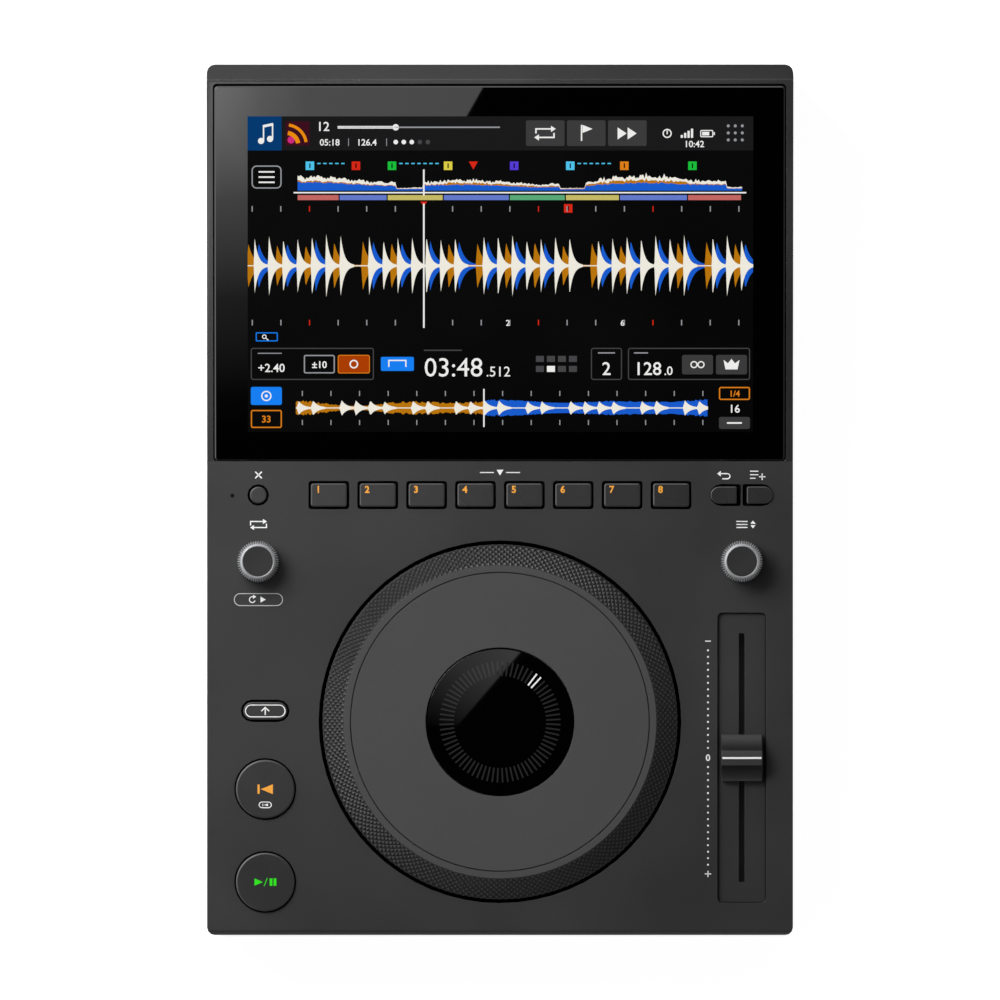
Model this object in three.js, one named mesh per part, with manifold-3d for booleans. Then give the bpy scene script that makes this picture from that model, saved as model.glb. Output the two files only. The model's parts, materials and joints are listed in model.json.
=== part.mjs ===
// A tabletop DJ media player: a sloped touch screen at the back, eight pads, a jog wheel and a tempo fader.
// Millimetres, +Z up. The user sits at -Y, and the origin is on the table under the middle of the case.
import * as THREE from "three";
import { mergeVertices } from "three/addons/utils/BufferGeometryUtils.js";
import Module from "manifold-3d";

const wasm = await Module();
wasm.setup();

// Case
const caseWidth = 251.7;
const caseDepth = 374;
const caseCorner = 3.4;
const caseWall = 2.5;
const deckTop = 82;
const deckWall = 2.5;
const frontRounding = 2.4;
const screenTiltDegrees = 6;
const screenWall = 4.6;
const screenRail = 2.55;
const screenRearRim = 2.2;
const rearEdgeSetback = 5.6;
const rearEdgeDrop = 10;
const rearRecess = 12;
const rearLip = 13;
const cornerBossRadius = 4.5;
const cornerBossInset = 6;
const rearBossSetback = 24;
const bossGap = 0.85;

// Clearances: what is fastened or laid on its seat, and what turns or slides
const seatGap = 0.3;
const runGap = 0.3;
const cutOverrun = 1;
const leastEdge = 0.003;

// Bottom case, feet and screws
const trayFloor = 1.6;
const trayFlange = 9;
const trayRim = 1.4;
const footHeight = 8;
const footRadius = 13;
const footTaper = 1.5;
const footScrewOffset = 15.5;
const spigotRadius = 3;
const standoffRadius = 3.2;
const standoffHeight = 7;
const screwRadius = 1.5;
const screwHeadRadius = 3;
const screwHead = 1.9;
const screwLength = 22;

// Rear panel
const rearSheet = 1.5;
const rearOverlap = 5;

// Screen
const glassThickness = 1.8;
const glassCorner = 1.5;
const glassSideGap = 0.7;
const glassFrontGap = 0.3;
const glassRearGap = 1.1;
const panelThickness = 4;
const panelFrontMargin = 8.4;
const panelRearMargin = 9.7;
const bracketSheet = 1.2;
const bracketFlange = 6;
const bracketMargin = 0.4;

// Jog wheel
const jogMargin = 13.8;
const jogGap = 1.4;
const jogConeWidth = 9.3;
const jogRingWidth = 3.2;
const jogHeight = 5.2;
const jogEdgeHeight = 0.8;
const jogSkirt = 3;
const jogRim = 2.5;
const jogPlateThickness = 2.5;
const jogSeatWidth = 6;
const jogSeatThickness = 2;
const wellLip = 5.5;
const wellWall = 2;
const jogTrayGap = 6.1;
const jogTrayWall = 1.5;
const jogTrayDepth = 23.5;
const lensRim = 3.1;
const lensGap = 0.5;
const lensThickness = 1.2;
const lensSkirt = 3.5;
const roundDisplayShare = 0.4375;
const postRadius = 14;
const postBore = 5;
const postFootRadius = 24;
const postFootThickness = 2.3;
const postHeadThickness = 1.6;
const bushWall = 1.7;
const bushFlange = 1.4;
const hubWall = 3.7;
const hubShoulder = 2;
const hubWeb = 3;
const hubWebDrop = 9.5;
const hubRib = 2.5;
const encoderWheelRadius = 42;
const encoderWheelThickness = 1;
const encoderWheelDrop = 7;
const encoderSlitDepth = 3;
const encoderSlits = 24;
const sensorWidth = 8;
const sensorReach = 12;
const sensorRoof = 3.8;
const sensorSlot = 3;
const sensorGap = 0.9;

// Columns and rows of the controls
const columnInset = 22;
const transportBossOffset = 16.5;
const playBossOffset = 14.4;
const cuePitch = 39.9;
const shiftPitch = 33.6;
const padScreenGap = 7.65;
const padJogGap = 13.45;
const padKnobGap = 13.4;
const faderKnobGap = 12.95;
const faderJogGap = 15.5;
const faderMargin = 13.9;

// Keys
const keyGap = 0.85;
const keyFlange = 0.8;
const flangeThickness = 1.2;
const padCount = 8;
const padBridge = 5.2;
const padKeyGap = 8.875;
const padDepth = 10.4;
const padCorner = 1.3;
const padProud = 1.2;
const padTravel = 0.8;
const dotKeyRadius = 3.8;
const smallProud = 1;
const smallTravel = 0.5;
const pairKeyWidth = 11.5;
const pairKeyDepth = 7.7;
const pairKeyCorner = 0.8;
const pairBridge = 0.75;
const shiftWidth = 19.2;
const shiftDepth = 7.9;
const transportRadius = 12.75;
const transportGap = 0.55;
const transportProud = 2;
const transportTravel = 1;
const stemRadius = 1.8;
const switchWidth = 6;
const switchHeight = 3.5;

// Board behind the keys
const boardThickness = 1.6;
const boardDrop = 9;
const boardInset = 8.8;
const boardRear = 3;
const boardFaderGap = 5.75;
const boardBossGap = 1.5;
const boardLegWidth = 29;
const boardJogGap = 1;
const deckBossRadius = 3;
const deckBossInset = 13.8;
const legBossPitch = 20.6;

// Push and turn encoders with their knobs
const knobRadius = 9.05;
const knobTaper = 1.45;
const knobHeight = 13;
const knobChamfer = 0.8;
const knobChamferWidth = 0.7;
const knobLip = 0.25;
const knobWeb = 2.8;
const knobLift = 0.8;
const inlayThickness = 0.8;
const shaftRadius = 3;
const encoderWall = 1.35;
const encoderHeight = 6.5;
const encoderRoof = 1.3;
const bushingRadius = 4.4;
const bushingDrop = 0.6;
const plungerRadius = 4.6;
const plungerThickness = 1.5;
const knobTravel = 0.6;

// Tempo fader
const faderSideGap = 1.65;
const faderEndGap = 2.4;
const faderRecessDepth = 2;
const faderRecessCorner = 2;
const faderRecessWall = 2;
const leverSideGap = 0.4;
const leverEndGap = 0.9;
const faderTravel = 100;
const faderKnobWidth = 17.6;
const faderKnobLength = 19.9;
const faderKnobHeight = 10;
const faderKnobEnd = 3;
const faderRidge = 6.4;
const faderKnobLift = 0.9;
const faderBodyWidth = 14;
const faderBodyEnd = 2.8;
const faderBodyHeight = 11.5;
const faderBodyWall = 2.2;
const carriageLength = 16;
const carriageHeight = 5.5;
const leverWidth = 1.6;
const leverLength = 5;
const leverInKnob = 5.5;

// Rear connectors and the power switch
const inletInset = 40.85;
const inletHeight = 36;
const inletWidth = 27;
const inletTall = 20;
const inletDepth = 18;
const inletFlange = 2.2;
const inletLip = 2.4;
const inletWall = 1.6;
const inletCornerCut = 4;
const bladePitch = 7;
const bladeThickness = 2;
const bladeTall = 4;
const bladeLength = 12;
const earthRise = 2.5;
const rockerPitch = 35;
const rockerWidth = 12;
const rockerTall = 17;
const rockerDepth = 6;
const rockerFace = 3.2;
const rockerDip = 1.6;
const rockerFrame = 2;
const rockerPivotDepth = 1.5;
const rockerTiltDegrees = 8;
const rockerBodyDepth = 12;
const lanPitch = 28;
const lanWidth = 16;
const lanTall = 13.5;
const lanDepth = 18;
const lanCavityWidth = 11.8;
const lanCavityTall = 8.2;
const lanCavityDepth = 12;
const lanWall = 1.6;
const usbPitch = 44;
const usbWidth = 14.4;
const usbTall = 7.2;
const usbDepth = 16;
const usbWall = 0.9;
const usbCavityDepth = 10;
const usbTongueTall = 1.9;
const usbTongueInset = 0.7;
const audioInset = 41.85;
const audioPitch = 18;
const audioWidth = 36;
const audioTall = 14;
const audioDepth = 14;
const audioBarrelRadius = 4.2;
const audioBarrelLength = 8.4;
const audioBore = 1.6;

// Main board and power supply
const mainBoardDepth = 118;
const mainBoardRearGap = 3;
const mainBoardJackMargin = 16;
const boardGap = 6;
const supplyDepth = 70;
const supplyMargin = 11.85;
const supplySetback = 33;
const supplyBlock = 30;
const supplyTall = 24;
const supplyCan = 7;
const supplyCanMargin = 11;
const supplyCanTall = 20;
const boardCornerInset = 6;
const chipWidth = 22;
const chipTall = 2.4;
const chipSetback = 24;
const heatSinkPitch = 33;
const heatSinkTall = 8;

// Facets
const arcSteps = 3;
const boltSides = 8;
const smallSides = 12;
const hiddenSides = 24;
const keySides = 28;
const knobSides = 32;
const jogSides = 64;

// Levels and places worked out from the sizes
const halfWidth = caseWidth / 2;
const halfDepth = caseDepth / 2;
const bossInset = caseWall + cornerBossInset;
const bossReach = bossInset + cornerBossRadius;
const caseBottom = footHeight + seatGap;
const trayTop = caseBottom + trayFloor;
const deckUnder = deckTop - deckWall;
const boardTop = deckUnder - boardDrop;
const switchTop = boardTop + switchHeight;

// The fader, with its knob's and its lever's room at both ends of the travel
const faderRecessWidth = faderKnobWidth + 2 * faderSideGap;
const faderRecessLength = faderTravel + faderKnobLength + 2 * faderEndGap;
const faderSlotWidth = leverWidth + 2 * leverSideGap;
const faderSlotLength = faderTravel + leverLength + 2 * leverEndGap;
const channelLength = faderTravel + carriageLength + 2 * faderBodyWall;
const faderBodyLength = channelLength + 2 * faderBodyEnd;

// Columns: the jog wheel takes the width that the controls at its sides leave
const leftColumn = -halfWidth + columnInset;
const rightColumn = halfWidth - columnInset;
const transportColumn = -halfWidth + bossInset + transportBossOffset;
const jogRadius = rightColumn - faderRecessWidth / 2 - faderJogGap - jogGap;
const jogTopRadius = jogRadius - jogConeWidth;
const jogPlateRadius = jogTopRadius - jogRingWidth;
const jogTrayRadius = jogRadius + jogGap + wellWall + jogTrayGap;
const roundDisplayRadius = jogPlateRadius * roundDisplayShare;
const lensRadius = roundDisplayRadius + seatGap + lensRim;
const pairReach = (pairKeyWidth + pairBridge) / 2 + keyGap;
const padReach = rightColumn - pairReach - pairKeyWidth / 2 - keyGap - padKeyGap;
const padPitch = (2 * padReach + padBridge) / padCount;
const padWidth = padPitch - padBridge;

// Rows: the deck is as deep as the jog wheel, or the fader and a knob, need it to be
const jogRows = jogMargin + 2 * (jogRadius + jogGap) + padJogGap;
const faderRows = faderMargin + faderRecessLength + faderKnobGap + 2 * knobRadius + padKnobGap;
const padFront = -halfDepth + Math.max(jogRows, faderRows);
const padRow = padFront + keyGap + padDepth / 2;
const screenFront = padRow + padDepth / 2 + keyGap + keyFlange + padScreenGap;
const knobRow = padFront - padKnobGap - knobRadius;
const jogRow = -halfDepth + jogMargin + jogGap + jogRadius;
const faderRow = -halfDepth + faderMargin + faderRecessLength / 2;
const playRow = -halfDepth + bossInset + playBossOffset;
const cueRow = playRow + cuePitch;
const shiftRow = cueRow + shiftPitch;

// Screen and rear
const screenTilt = THREE.MathUtils.degToRad(screenTiltDegrees);
const screenRise = (y) => deckTop + (y - screenFront) * Math.tan(screenTilt);
const rearEdge = halfDepth - rearEdgeSetback;
const rearTop = screenRise(rearEdge);
const rearLow = rearTop - rearEdgeDrop;
const recessPlane = halfDepth - rearRecess;
const recessCeiling = rearLow - rearLip;
const panelFace = recessPlane - seatGap;
const pocketWidth = caseWidth - 2 * screenRail;
const pocketDepth = (rearEdge - screenRearRim - screenFront) / Math.cos(screenTilt);
const glassWidth = pocketWidth - 2 * glassSideGap;
const glassDepth = pocketDepth - glassFrontGap - glassRearGap;
const panelWidth = caseWidth - 2 * (bossReach + bossGap);
const panelDepth = glassDepth - panelFrontMargin - panelRearMargin;
const inletCentre = halfWidth - inletInset;
const rockerCentre = inletCentre - rockerPitch;
const audioCentre = -halfWidth + audioInset;
const usbCentre = audioCentre + usbPitch;
const lanCentre = usbCentre + lanPitch;

// Knobs, encoders and the jog wheel's levels
const knobShoulderRadius = knobRadius - knobTaper;
const knobTopRadius = knobShoulderRadius - knobChamferWidth;
const inlayRadius = knobTopRadius - knobLip - seatGap;
const shaftInKnob = knobHeight - inlayThickness - 2 * seatGap - knobWeb;
const encoderWidth = 2 * (plungerRadius + runGap + encoderWall);
const jogTop = deckTop + jogHeight;
const jogTrayTop = deckUnder - seatGap;
const jogTrayFloor = jogTrayTop - jogTrayDepth;

// Bosses for the case screws in the corners, and for the board under the deck
const screwBosses = [
  [-halfWidth + bossInset, -halfDepth + bossInset],
  [halfWidth - bossInset, -halfDepth + bossInset],
  [-halfWidth + bossInset, recessPlane - rearBossSetback],
  [halfWidth - bossInset, recessPlane - rearBossSetback],
];
const sideBoss = halfWidth - deckBossInset;
const deckBosses = [
  [-2 * padPitch, screenFront - padScreenGap / 2],
  [2 * padPitch, screenFront - padScreenGap / 2],
  [-sideBoss, (padRow + knobRow) / 2],
  [sideBoss, (padRow + knobRow) / 2],
  [-sideBoss, shiftRow + legBossPitch],
  [-sideBoss, cueRow - cuePitch / 2],
];

// Materials
const finish = (color, roughness, metalness = 0) =>
  new THREE.MeshStandardMaterial({ color, roughness, metalness });
const casePlastic = finish(0x3c3c3c, 0.55);
const steelSheet = finish(0x8f9396, 0.45, 0.9);
const darkSteel = finish(0x2b2c2e, 0.5, 0.6);
const rubber = finish(0x161616, 0.9);
const blackGlass = finish(0x050505, 0.05);
const panelBlack = finish(0x0b0b0d, 0.3);
const jogPlastic = finish(0x454545, 0.5);
const knurlPlastic = finish(0x2c2c2c, 0.6);
const keyPlastic = finish(0x333333, 0.5);
const knobMetal = finish(0x5c5c5c, 0.35, 0.8);
const blackPlastic = finish(0x141414, 0.6);
const whitePlastic = finish(0xd8d8d4, 0.6);
const brass = finish(0xb8933f, 0.35, 0.9);
const greenBoard = finish(0x1c4a2c, 0.6);

// A closed geometry as a solid that can be joined and cut.
function solid(geometry) {
  const bare = geometry.index ? geometry.toNonIndexed() : geometry.clone();
  bare.deleteAttribute("normal");
  bare.deleteAttribute("uv");
  const merged = mergeVertices(bare);
  const corners = merged.index.array;
  const kept = [];
  for (let i = 0; i < corners.length; i += 3) {
    const [a, b, c] = corners.slice(i, i + 3);
    if (a !== b && b !== c && a !== c) kept.push(a, b, c);
  }
  return new wasm.Manifold(
    new wasm.Mesh({
      numProp: 3,
      vertProperties: merged.attributes.position.array,
      triVerts: new Uint32Array(kept),
    }),
  );
}

// A solid as a geometry with flat faces.
function geometryOf(made) {
  const { vertProperties, triVerts } = made.getMesh();
  const shared = new THREE.BufferGeometry();
  shared.setAttribute("position", new THREE.BufferAttribute(new Float32Array(vertProperties), 3));
  shared.setIndex(new THREE.BufferAttribute(new Uint32Array(triVerts), 1));
  const flat = shared.toNonIndexed();
  flat.computeVertexNormals();
  return flat;
}

const join = (first, ...others) => others.reduce((sum, next) => sum.add(next), first);
const cut = (first, ...others) => others.reduce((rest, next) => rest.subtract(next), first);

// A closed outline through corners [x, y, radius], each turned with its own radius.
function outline(corners) {
  const points = [];
  const put = (point) => {
    const last = points.at(-1);
    if (!last || last.distanceTo(point) > leastEdge) points.push(point);
  };
  corners.forEach(([x, y, radius = 0], i) => {
    const corner = new THREE.Vector2(x, y);
    if (!radius) {
      put(corner);
      return;
    }
    const [beforeX, beforeY] = corners.at(i - 1);
    const [afterX, afterY] = corners[(i + 1) % corners.length];
    const back = new THREE.Vector2(beforeX, beforeY).sub(corner).normalize();
    const ahead = new THREE.Vector2(afterX, afterY).sub(corner).normalize();
    const half = Math.acos(back.dot(ahead)) / 2;
    const centre = back.clone().add(ahead).setLength(radius / Math.sin(half)).add(corner);
    const reach = radius / Math.tan(half);
    const start = back.clone().multiplyScalar(reach).add(corner).sub(centre);
    const end = ahead.clone().multiplyScalar(reach).add(corner).sub(centre);
    const sweep = Math.atan2(start.cross(end), start.dot(end));
    for (let k = 0; k <= arcSteps; k++) {
      put(start.clone().rotateAround(new THREE.Vector2(), (sweep * k) / arcSteps).add(centre));
    }
  });
  if (points[0].distanceTo(points.at(-1)) < leastEdge) points.pop();
  return new THREE.Shape(points);
}

const rectangle = (width, depth, radius = 0) =>
  outline([
    [-width / 2, -depth / 2, radius],
    [width / 2, -depth / 2, radius],
    [width / 2, depth / 2, radius],
    [-width / 2, depth / 2, radius],
  ]);

// A shape in the XY plane raised from z = low to z = high.
function rise(shape, low, high, x = 0, y = 0) {
  const raised = new THREE.ExtrudeGeometry(shape, { depth: high - low, bevelEnabled: false });
  return solid(raised.translate(x, y, low));
}

// A side profile of [y, z] corners drawn out across the case, centred on x = 0.
function across(corners, width) {
  const drawn = new THREE.ExtrudeGeometry(outline(corners), { depth: width, bevelEnabled: false });
  const toYz = new THREE.Matrix4().makeBasis(
    new THREE.Vector3(0, 1, 0),
    new THREE.Vector3(0, 0, 1),
    new THREE.Vector3(1, 0, 0),
  );
  return solid(drawn.applyMatrix4(toYz).translate(-width / 2, 0, 0));
}

// A block between two corners.
function block(x0, y0, z0, x1, y1, z1) {
  const box = new THREE.BoxGeometry(x1 - x0, y1 - y0, z1 - z0);
  return solid(box.translate((x0 + x1) / 2, (y0 + y1) / 2, (z0 + z1) / 2));
}

// An upright round bar.
function bar(radius, low, high, x = 0, y = 0, sides = smallSides) {
  const round = new THREE.CylinderGeometry(radius, radius, high - low, sides);
  return solid(round.rotateX(Math.PI / 2).translate(x, y, (low + high) / 2));
}

// A round bar that lies along Y.
function lyingBar(radius, from, to, x, z, sides = smallSides) {
  const round = new THREE.CylinderGeometry(radius, radius, to - from, sides);
  return solid(round.translate(x, (from + to) / 2, z));
}

// A profile of [radius, z] points turned about an upright axis.
function turned(profile, sides) {
  const points = profile.map(([radius, z]) => new THREE.Vector2(radius, z));
  return solid(new THREE.LatheGeometry(points, sides).rotateX(Math.PI / 2));
}

const player = new THREE.Group();
player.name = "dj_player";

function place(parent, name, made, material, x = 0, y = 0, z = 0) {
  const mesh = new THREE.Mesh(geometryOf(made), material);
  mesh.name = name;
  mesh.position.set(x, y, z);
  parent.add(mesh);
  return mesh;
}

// The frame of the sloped screen: y runs up the slope from the deck's rear edge, z stands square to it.
const screenFrame = new THREE.Group();
screenFrame.position.set(0, screenFront, deckTop);
screenFrame.rotation.x = screenTilt;
screenFrame.updateMatrix();
player.add(screenFrame);

function tiltedBlock(width, from, to, low, high, corner = 0) {
  const shape = outline([
    [-width / 2, from, corner],
    [width / 2, from, corner],
    [width / 2, to, corner],
    [-width / 2, to, corner],
  ]);
  const raised = new THREE.ExtrudeGeometry(shape, { depth: high - low, bevelEnabled: false });
  return raised.translate(0, 0, low);
}

// Outlines of the keys, each grown by a margin
const padShape = (margin) =>
  rectangle(padWidth + 2 * margin, padDepth + 2 * margin, padCorner);
const circle = (radius, sides) => {
  const turn = (k) => (2 * Math.PI * k) / sides;
  const points = Array.from({ length: sides }, (_, k) =>
    new THREE.Vector2(radius * Math.cos(turn(k)), radius * Math.sin(turn(k))),
  );
  return new THREE.Shape(points);
};
const dotShape = (margin) => circle(dotKeyRadius + margin, smallSides);
const transportShape = (margin) => circle(transportRadius + margin, keySides);
const shiftShape = (margin) =>
  rectangle(shiftWidth + 2 * margin, shiftDepth + 2 * margin, shiftDepth / 2 + margin);

// One of the two keys that share a pill, side by side: its round end points to side.
// The straight end next to the bridge grows by no more than the gap round the key.
function pairShape(side) {
  return (margin) => {
    const tall = pairKeyDepth / 2 + margin;
    const outer = side * (pairKeyWidth / 2 + margin);
    const inner = -side * (pairKeyWidth / 2 + Math.min(margin, keyGap) - (margin > keyGap ? keyGap : 0));
    const corners = [
      [inner, -tall, pairKeyCorner],
      [outer, -tall, tall],
      [outer, tall, tall],
      [inner, tall, pairKeyCorner],
    ];
    return outline(side > 0 ? corners : corners.reverse());
  };
}

// Each key's place, outline, gap in the deck, height above the deck and travel
const keys = [
  { name: "delete_button", x: leftColumn, y: padRow, shape: dotShape },
  { name: "back_button", x: rightColumn - pairReach, y: padRow, shape: pairShape(-1) },
  { name: "tag_button", x: rightColumn + pairReach, y: padRow, shape: pairShape(1) },
  { name: "shift_button", x: transportColumn, y: shiftRow, shape: shiftShape },
].map((key) => ({ gap: keyGap, proud: smallProud, travel: smallTravel, ...key }));
for (let i = 0; i < padCount; i++) {
  keys.push({
    name: "hot_cue_button_" + (i + 1),
    x: (i - (padCount - 1) / 2) * padPitch,
    y: padRow,
    shape: padShape,
    gap: keyGap,
    proud: padProud,
    travel: padTravel,
  });
}
for (const [name, y] of [["cue_button", cueRow], ["play_button", playRow]]) {
  keys.push({
    name,
    x: transportColumn,
    y,
    shape: transportShape,
    gap: transportGap,
    proud: transportProud,
    travel: transportTravel,
  });
}

// Top case: the outer form, hollow inside, with the deck's openings and the pocket of the glass
const pocketFloor = -glassThickness - seatGap;
const panelFront = glassFrontGap + panelFrontMargin;
const faderUnder = deckTop - faderRecessDepth - faderRecessWall;

function makeTopCase() {
  const plan = rise(
    rectangle(caseWidth, caseDepth, caseCorner), caseBottom, rearTop + cutOverrun);
  const outerProfile = [
    [-halfDepth, caseBottom - cutOverrun],
    [halfDepth, caseBottom - cutOverrun],
    [halfDepth, rearLow],
    [rearEdge, rearTop],
    [screenFront, deckTop],
    [-halfDepth, deckTop, frontRounding],
  ];
  const outer = plan.intersect(across(outerProfile, caseWidth + 2 * cutOverrun));
  const innerWidth = caseWidth - 2 * caseWall;
  const innerRear = halfDepth - caseWall;
  const hollowProfile = [
    [-halfDepth + caseWall, caseBottom - cutOverrun],
    [recessPlane, caseBottom - cutOverrun],
    [recessPlane, recessCeiling + caseWall],
    [innerRear, recessCeiling + caseWall],
    [innerRear, rearLow - caseWall],
    [rearEdge - caseWall, screenRise(rearEdge - caseWall) - screenWall],
    [screenFront, deckTop - screenWall],
    [screenFront, deckUnder],
    [-halfDepth + caseWall, deckUnder],
  ];
  const recessProfile = [
    [recessPlane, caseBottom - cutOverrun],
    [halfDepth + cutOverrun, caseBottom - cutOverrun],
    [halfDepth + cutOverrun, recessCeiling],
    [recessPlane, recessCeiling],
  ];
  const hollow = across(hollowProfile, innerWidth);
  const recess = across(recessProfile, innerWidth);
  const screwBores = screwBosses.map(([x, y]) =>
    bar(screwRadius + runGap, caseBottom - cutOverrun, trayTop + screwLength, x, y, boltSides));
  const tallBosses = screwBosses.map(([x, y]) =>
    bar(cornerBossRadius, trayTop + seatGap, rearTop, x, y).intersect(outer));
  const shortBosses = deckBosses.map(([x, y]) =>
    bar(deckBossRadius, boardTop + seatGap, deckUnder + deckWall / 2, x, y, boltSides));
  const well = bar(
    jogRadius + jogGap + wellWall, deckUnder - wellLip, deckUnder + deckWall / 2, 0, jogRow, jogSides);
  const faderBox = rise(
    rectangle(
      faderRecessWidth + 2 * faderRecessWall,
      faderRecessLength + 2 * faderRecessWall,
      faderRecessCorner,
    ),
    faderUnder,
    deckUnder + deckWall / 2,
    rightColumn,
    faderRow,
  );
  const shell = join(cut(outer, hollow, recess), ...tallBosses, ...shortBosses, well, faderBox);
  const pocket = tiltedBlock(pocketWidth, 0, pocketDepth, pocketFloor, cutOverrun, glassCorner);
  const window = tiltedBlock(
    panelWidth + 2 * seatGap,
    panelFront - seatGap,
    panelFront + panelDepth + seatGap,
    -screenWall - cutOverrun,
    cutOverrun,
  );
  const keyHoles = keys.map(({ shape, gap, x, y }) =>
    rise(shape(gap), deckUnder - cutOverrun, deckTop + cutOverrun, x, y));
  const bushingHoles = [leftColumn, rightColumn].map((x) =>
    bar(bushingRadius + seatGap, deckUnder - cutOverrun, deckTop + cutOverrun, x, knobRow));
  const jogHole = bar(
    jogRadius + jogGap, deckUnder - wellLip - cutOverrun, deckTop + cutOverrun, 0, jogRow, jogSides);
  const faderRecess = rise(
    rectangle(faderRecessWidth, faderRecessLength, faderRecessCorner),
    deckTop - faderRecessDepth,
    deckTop + cutOverrun,
    rightColumn,
    faderRow,
  );
  const faderSlot = rise(
    rectangle(faderSlotWidth, faderSlotLength),
    faderUnder - cutOverrun,
    deckTop,
    rightColumn,
    faderRow,
  );
  return cut(
    shell,
    ...screwBores,
    solid(pocket.applyMatrix4(screenFrame.matrix)),
    solid(window.applyMatrix4(screenFrame.matrix)),
    ...keyHoles,
    ...bushingHoles,
    jogHole,
    faderRecess,
    faderSlot,
  );
}
place(player, "top_case", makeTopCase(), casePlastic);

// Bottom case: a sheet tray inside the walls of the top case, with standoffs for the two boards
const trayWidth = caseWidth - 2 * caseWall - 2 * seatGap;
const trayFront = -halfDepth + caseWall + seatGap;
const footInset = bossInset + footScrewOffset;
const feet = [
  ["foot_front_left", -halfWidth + footInset, -halfDepth + footInset],
  ["foot_front_right", halfWidth - footInset, -halfDepth + footInset],
  ["foot_rear_left", -halfWidth + footInset, halfDepth - footInset],
  ["foot_rear_right", halfWidth - footInset, halfDepth - footInset],
];
const mainRear = panelFace - rearSheet - mainBoardRearGap;
const mainBoard = {
  left: -halfWidth + bossReach + bossGap,
  right: lanCentre + lanWidth / 2 + mainBoardJackMargin,
  front: mainRear - mainBoardDepth,
  rear: mainRear,
};
const supplyRear = mainRear - supplySetback;
const supply = {
  left: mainBoard.right + boardGap,
  right: halfWidth - supplyMargin,
  front: supplyRear - supplyDepth,
  rear: supplyRear,
};
const cornersOf = ({ left, right, front, rear }) => [
  [left + boardCornerInset, front + boardCornerInset],
  [right - boardCornerInset, front + boardCornerInset],
  [left + boardCornerInset, rear - boardCornerInset],
  [right - boardCornerInset, rear - boardCornerInset],
];

function makeBottomCase() {
  const floor = block(-trayWidth / 2, trayFront, caseBottom, trayWidth / 2, halfDepth, trayTop);
  const rims = [-1, 1].map((side) => {
    const edges = [side * (trayWidth / 2 - trayRim), (side * trayWidth) / 2].sort((a, b) => a - b);
    return block(
      edges[0], trayFront, caseBottom, edges[1], panelFace - rearSheet - seatGap, trayTop + trayFlange);
  });
  const frontRim = block(
    -trayWidth / 2, trayFront, caseBottom, trayWidth / 2, trayFront + trayRim, trayTop + trayFlange);
  const bossRoom = screwBosses.map(([x, y]) =>
    bar(cornerBossRadius + seatGap, trayTop, trayTop + trayFlange + cutOverrun, x, y));
  const standoffs = [...cornersOf(mainBoard), ...cornersOf(supply)].map(([x, y]) =>
    bar(standoffRadius, trayTop - trayFloor / 2, trayTop + standoffHeight, x, y, boltSides));
  const holes = screwBosses.map(([x, y]) =>
    bar(screwRadius + runGap, caseBottom - cutOverrun, trayTop + cutOverrun, x, y, boltSides));
  const sockets = feet.map(([, x, y]) =>
    bar(spigotRadius + seatGap, caseBottom - cutOverrun, trayTop + cutOverrun, x, y));
  return cut(join(cut(join(floor, ...rims, frontRim), ...bossRoom), ...standoffs), ...holes, ...sockets);
}
place(player, "bottom_case", makeBottomCase(), darkSteel);

const footProfile = [
  [0, 0],
  [footRadius - footTaper, 0],
  [footRadius, footTaper],
  [footRadius, footHeight],
  [spigotRadius, footHeight],
  [spigotRadius, trayTop],
  [0, trayTop],
];
for (const [name, x, y] of feet) {
  place(player, name, turned(footProfile, smallSides * 2), rubber, x, y);
}

const screwProfile = [
  [0, -screwHead],
  [screwHeadRadius, -screwHead],
  [screwHeadRadius, 0],
  [screwRadius, 0],
  [screwRadius, screwLength],
  [0, screwLength],
];
screwBosses.forEach(([x, y], i) => {
  const screw = turned(screwProfile, boltSides);
  place(player, "case_screw_" + (i + 1), screw, steelSheet, x, y, caseBottom - seatGap);
});

// Rear panel with a cutout for each connector
const jackFloor = trayTop + standoffHeight + seatGap + boardThickness + seatGap;
const lanMiddle = jackFloor + lanTall / 2;
const usbMiddle = jackFloor + usbTall / 2;
const audioMiddle = jackFloor + audioTall / 2;
const cutouts = [
  [inletCentre, inletHeight, inletWidth, inletTall],
  [rockerCentre, inletHeight, rockerWidth + 2 * rockerFrame, rockerTall + 2 * rockerFrame],
  [lanCentre, lanMiddle, lanWidth, lanTall],
  [usbCentre, usbMiddle, usbWidth, usbTall],
];

function makeRearPanel() {
  const sheet = block(
    -trayWidth / 2, panelFace - rearSheet, trayTop + seatGap,
    trayWidth / 2, panelFace, recessCeiling + rearOverlap,
  );
  const windows = cutouts.map(([x, z, width, tall]) =>
    block(
      x - width / 2 - seatGap, panelFace - rearSheet - cutOverrun, z - tall / 2 - seatGap,
      x + width / 2 + seatGap, panelFace + cutOverrun, z + tall / 2 + seatGap,
    ));
  const barrelHoles = [-1, 1].map((side) =>
    lyingBar(
      audioBarrelRadius + seatGap, panelFace - rearSheet - cutOverrun, panelFace + cutOverrun,
      audioCentre + (side * audioPitch) / 2, audioMiddle,
    ));
  return cut(sheet, ...windows, ...barrelHoles);
}
place(player, "rear_panel", makeRearPanel(), darkSteel);

// Screen: cover glass in its pocket, display panel behind it and the bracket that holds the panel
const glass = tiltedBlock(
  glassWidth, glassFrontGap, glassFrontGap + glassDepth, -glassThickness, 0, glassCorner);
place(screenFrame, "screen_glass", solid(glass), blackGlass);
const panelHigh = pocketFloor;
const panelLow = panelHigh - panelThickness;
const panel = tiltedBlock(panelWidth, panelFront, panelFront + panelDepth, panelLow, panelHigh);
place(screenFrame, "lcd_panel", solid(panel), panelBlack);

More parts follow.
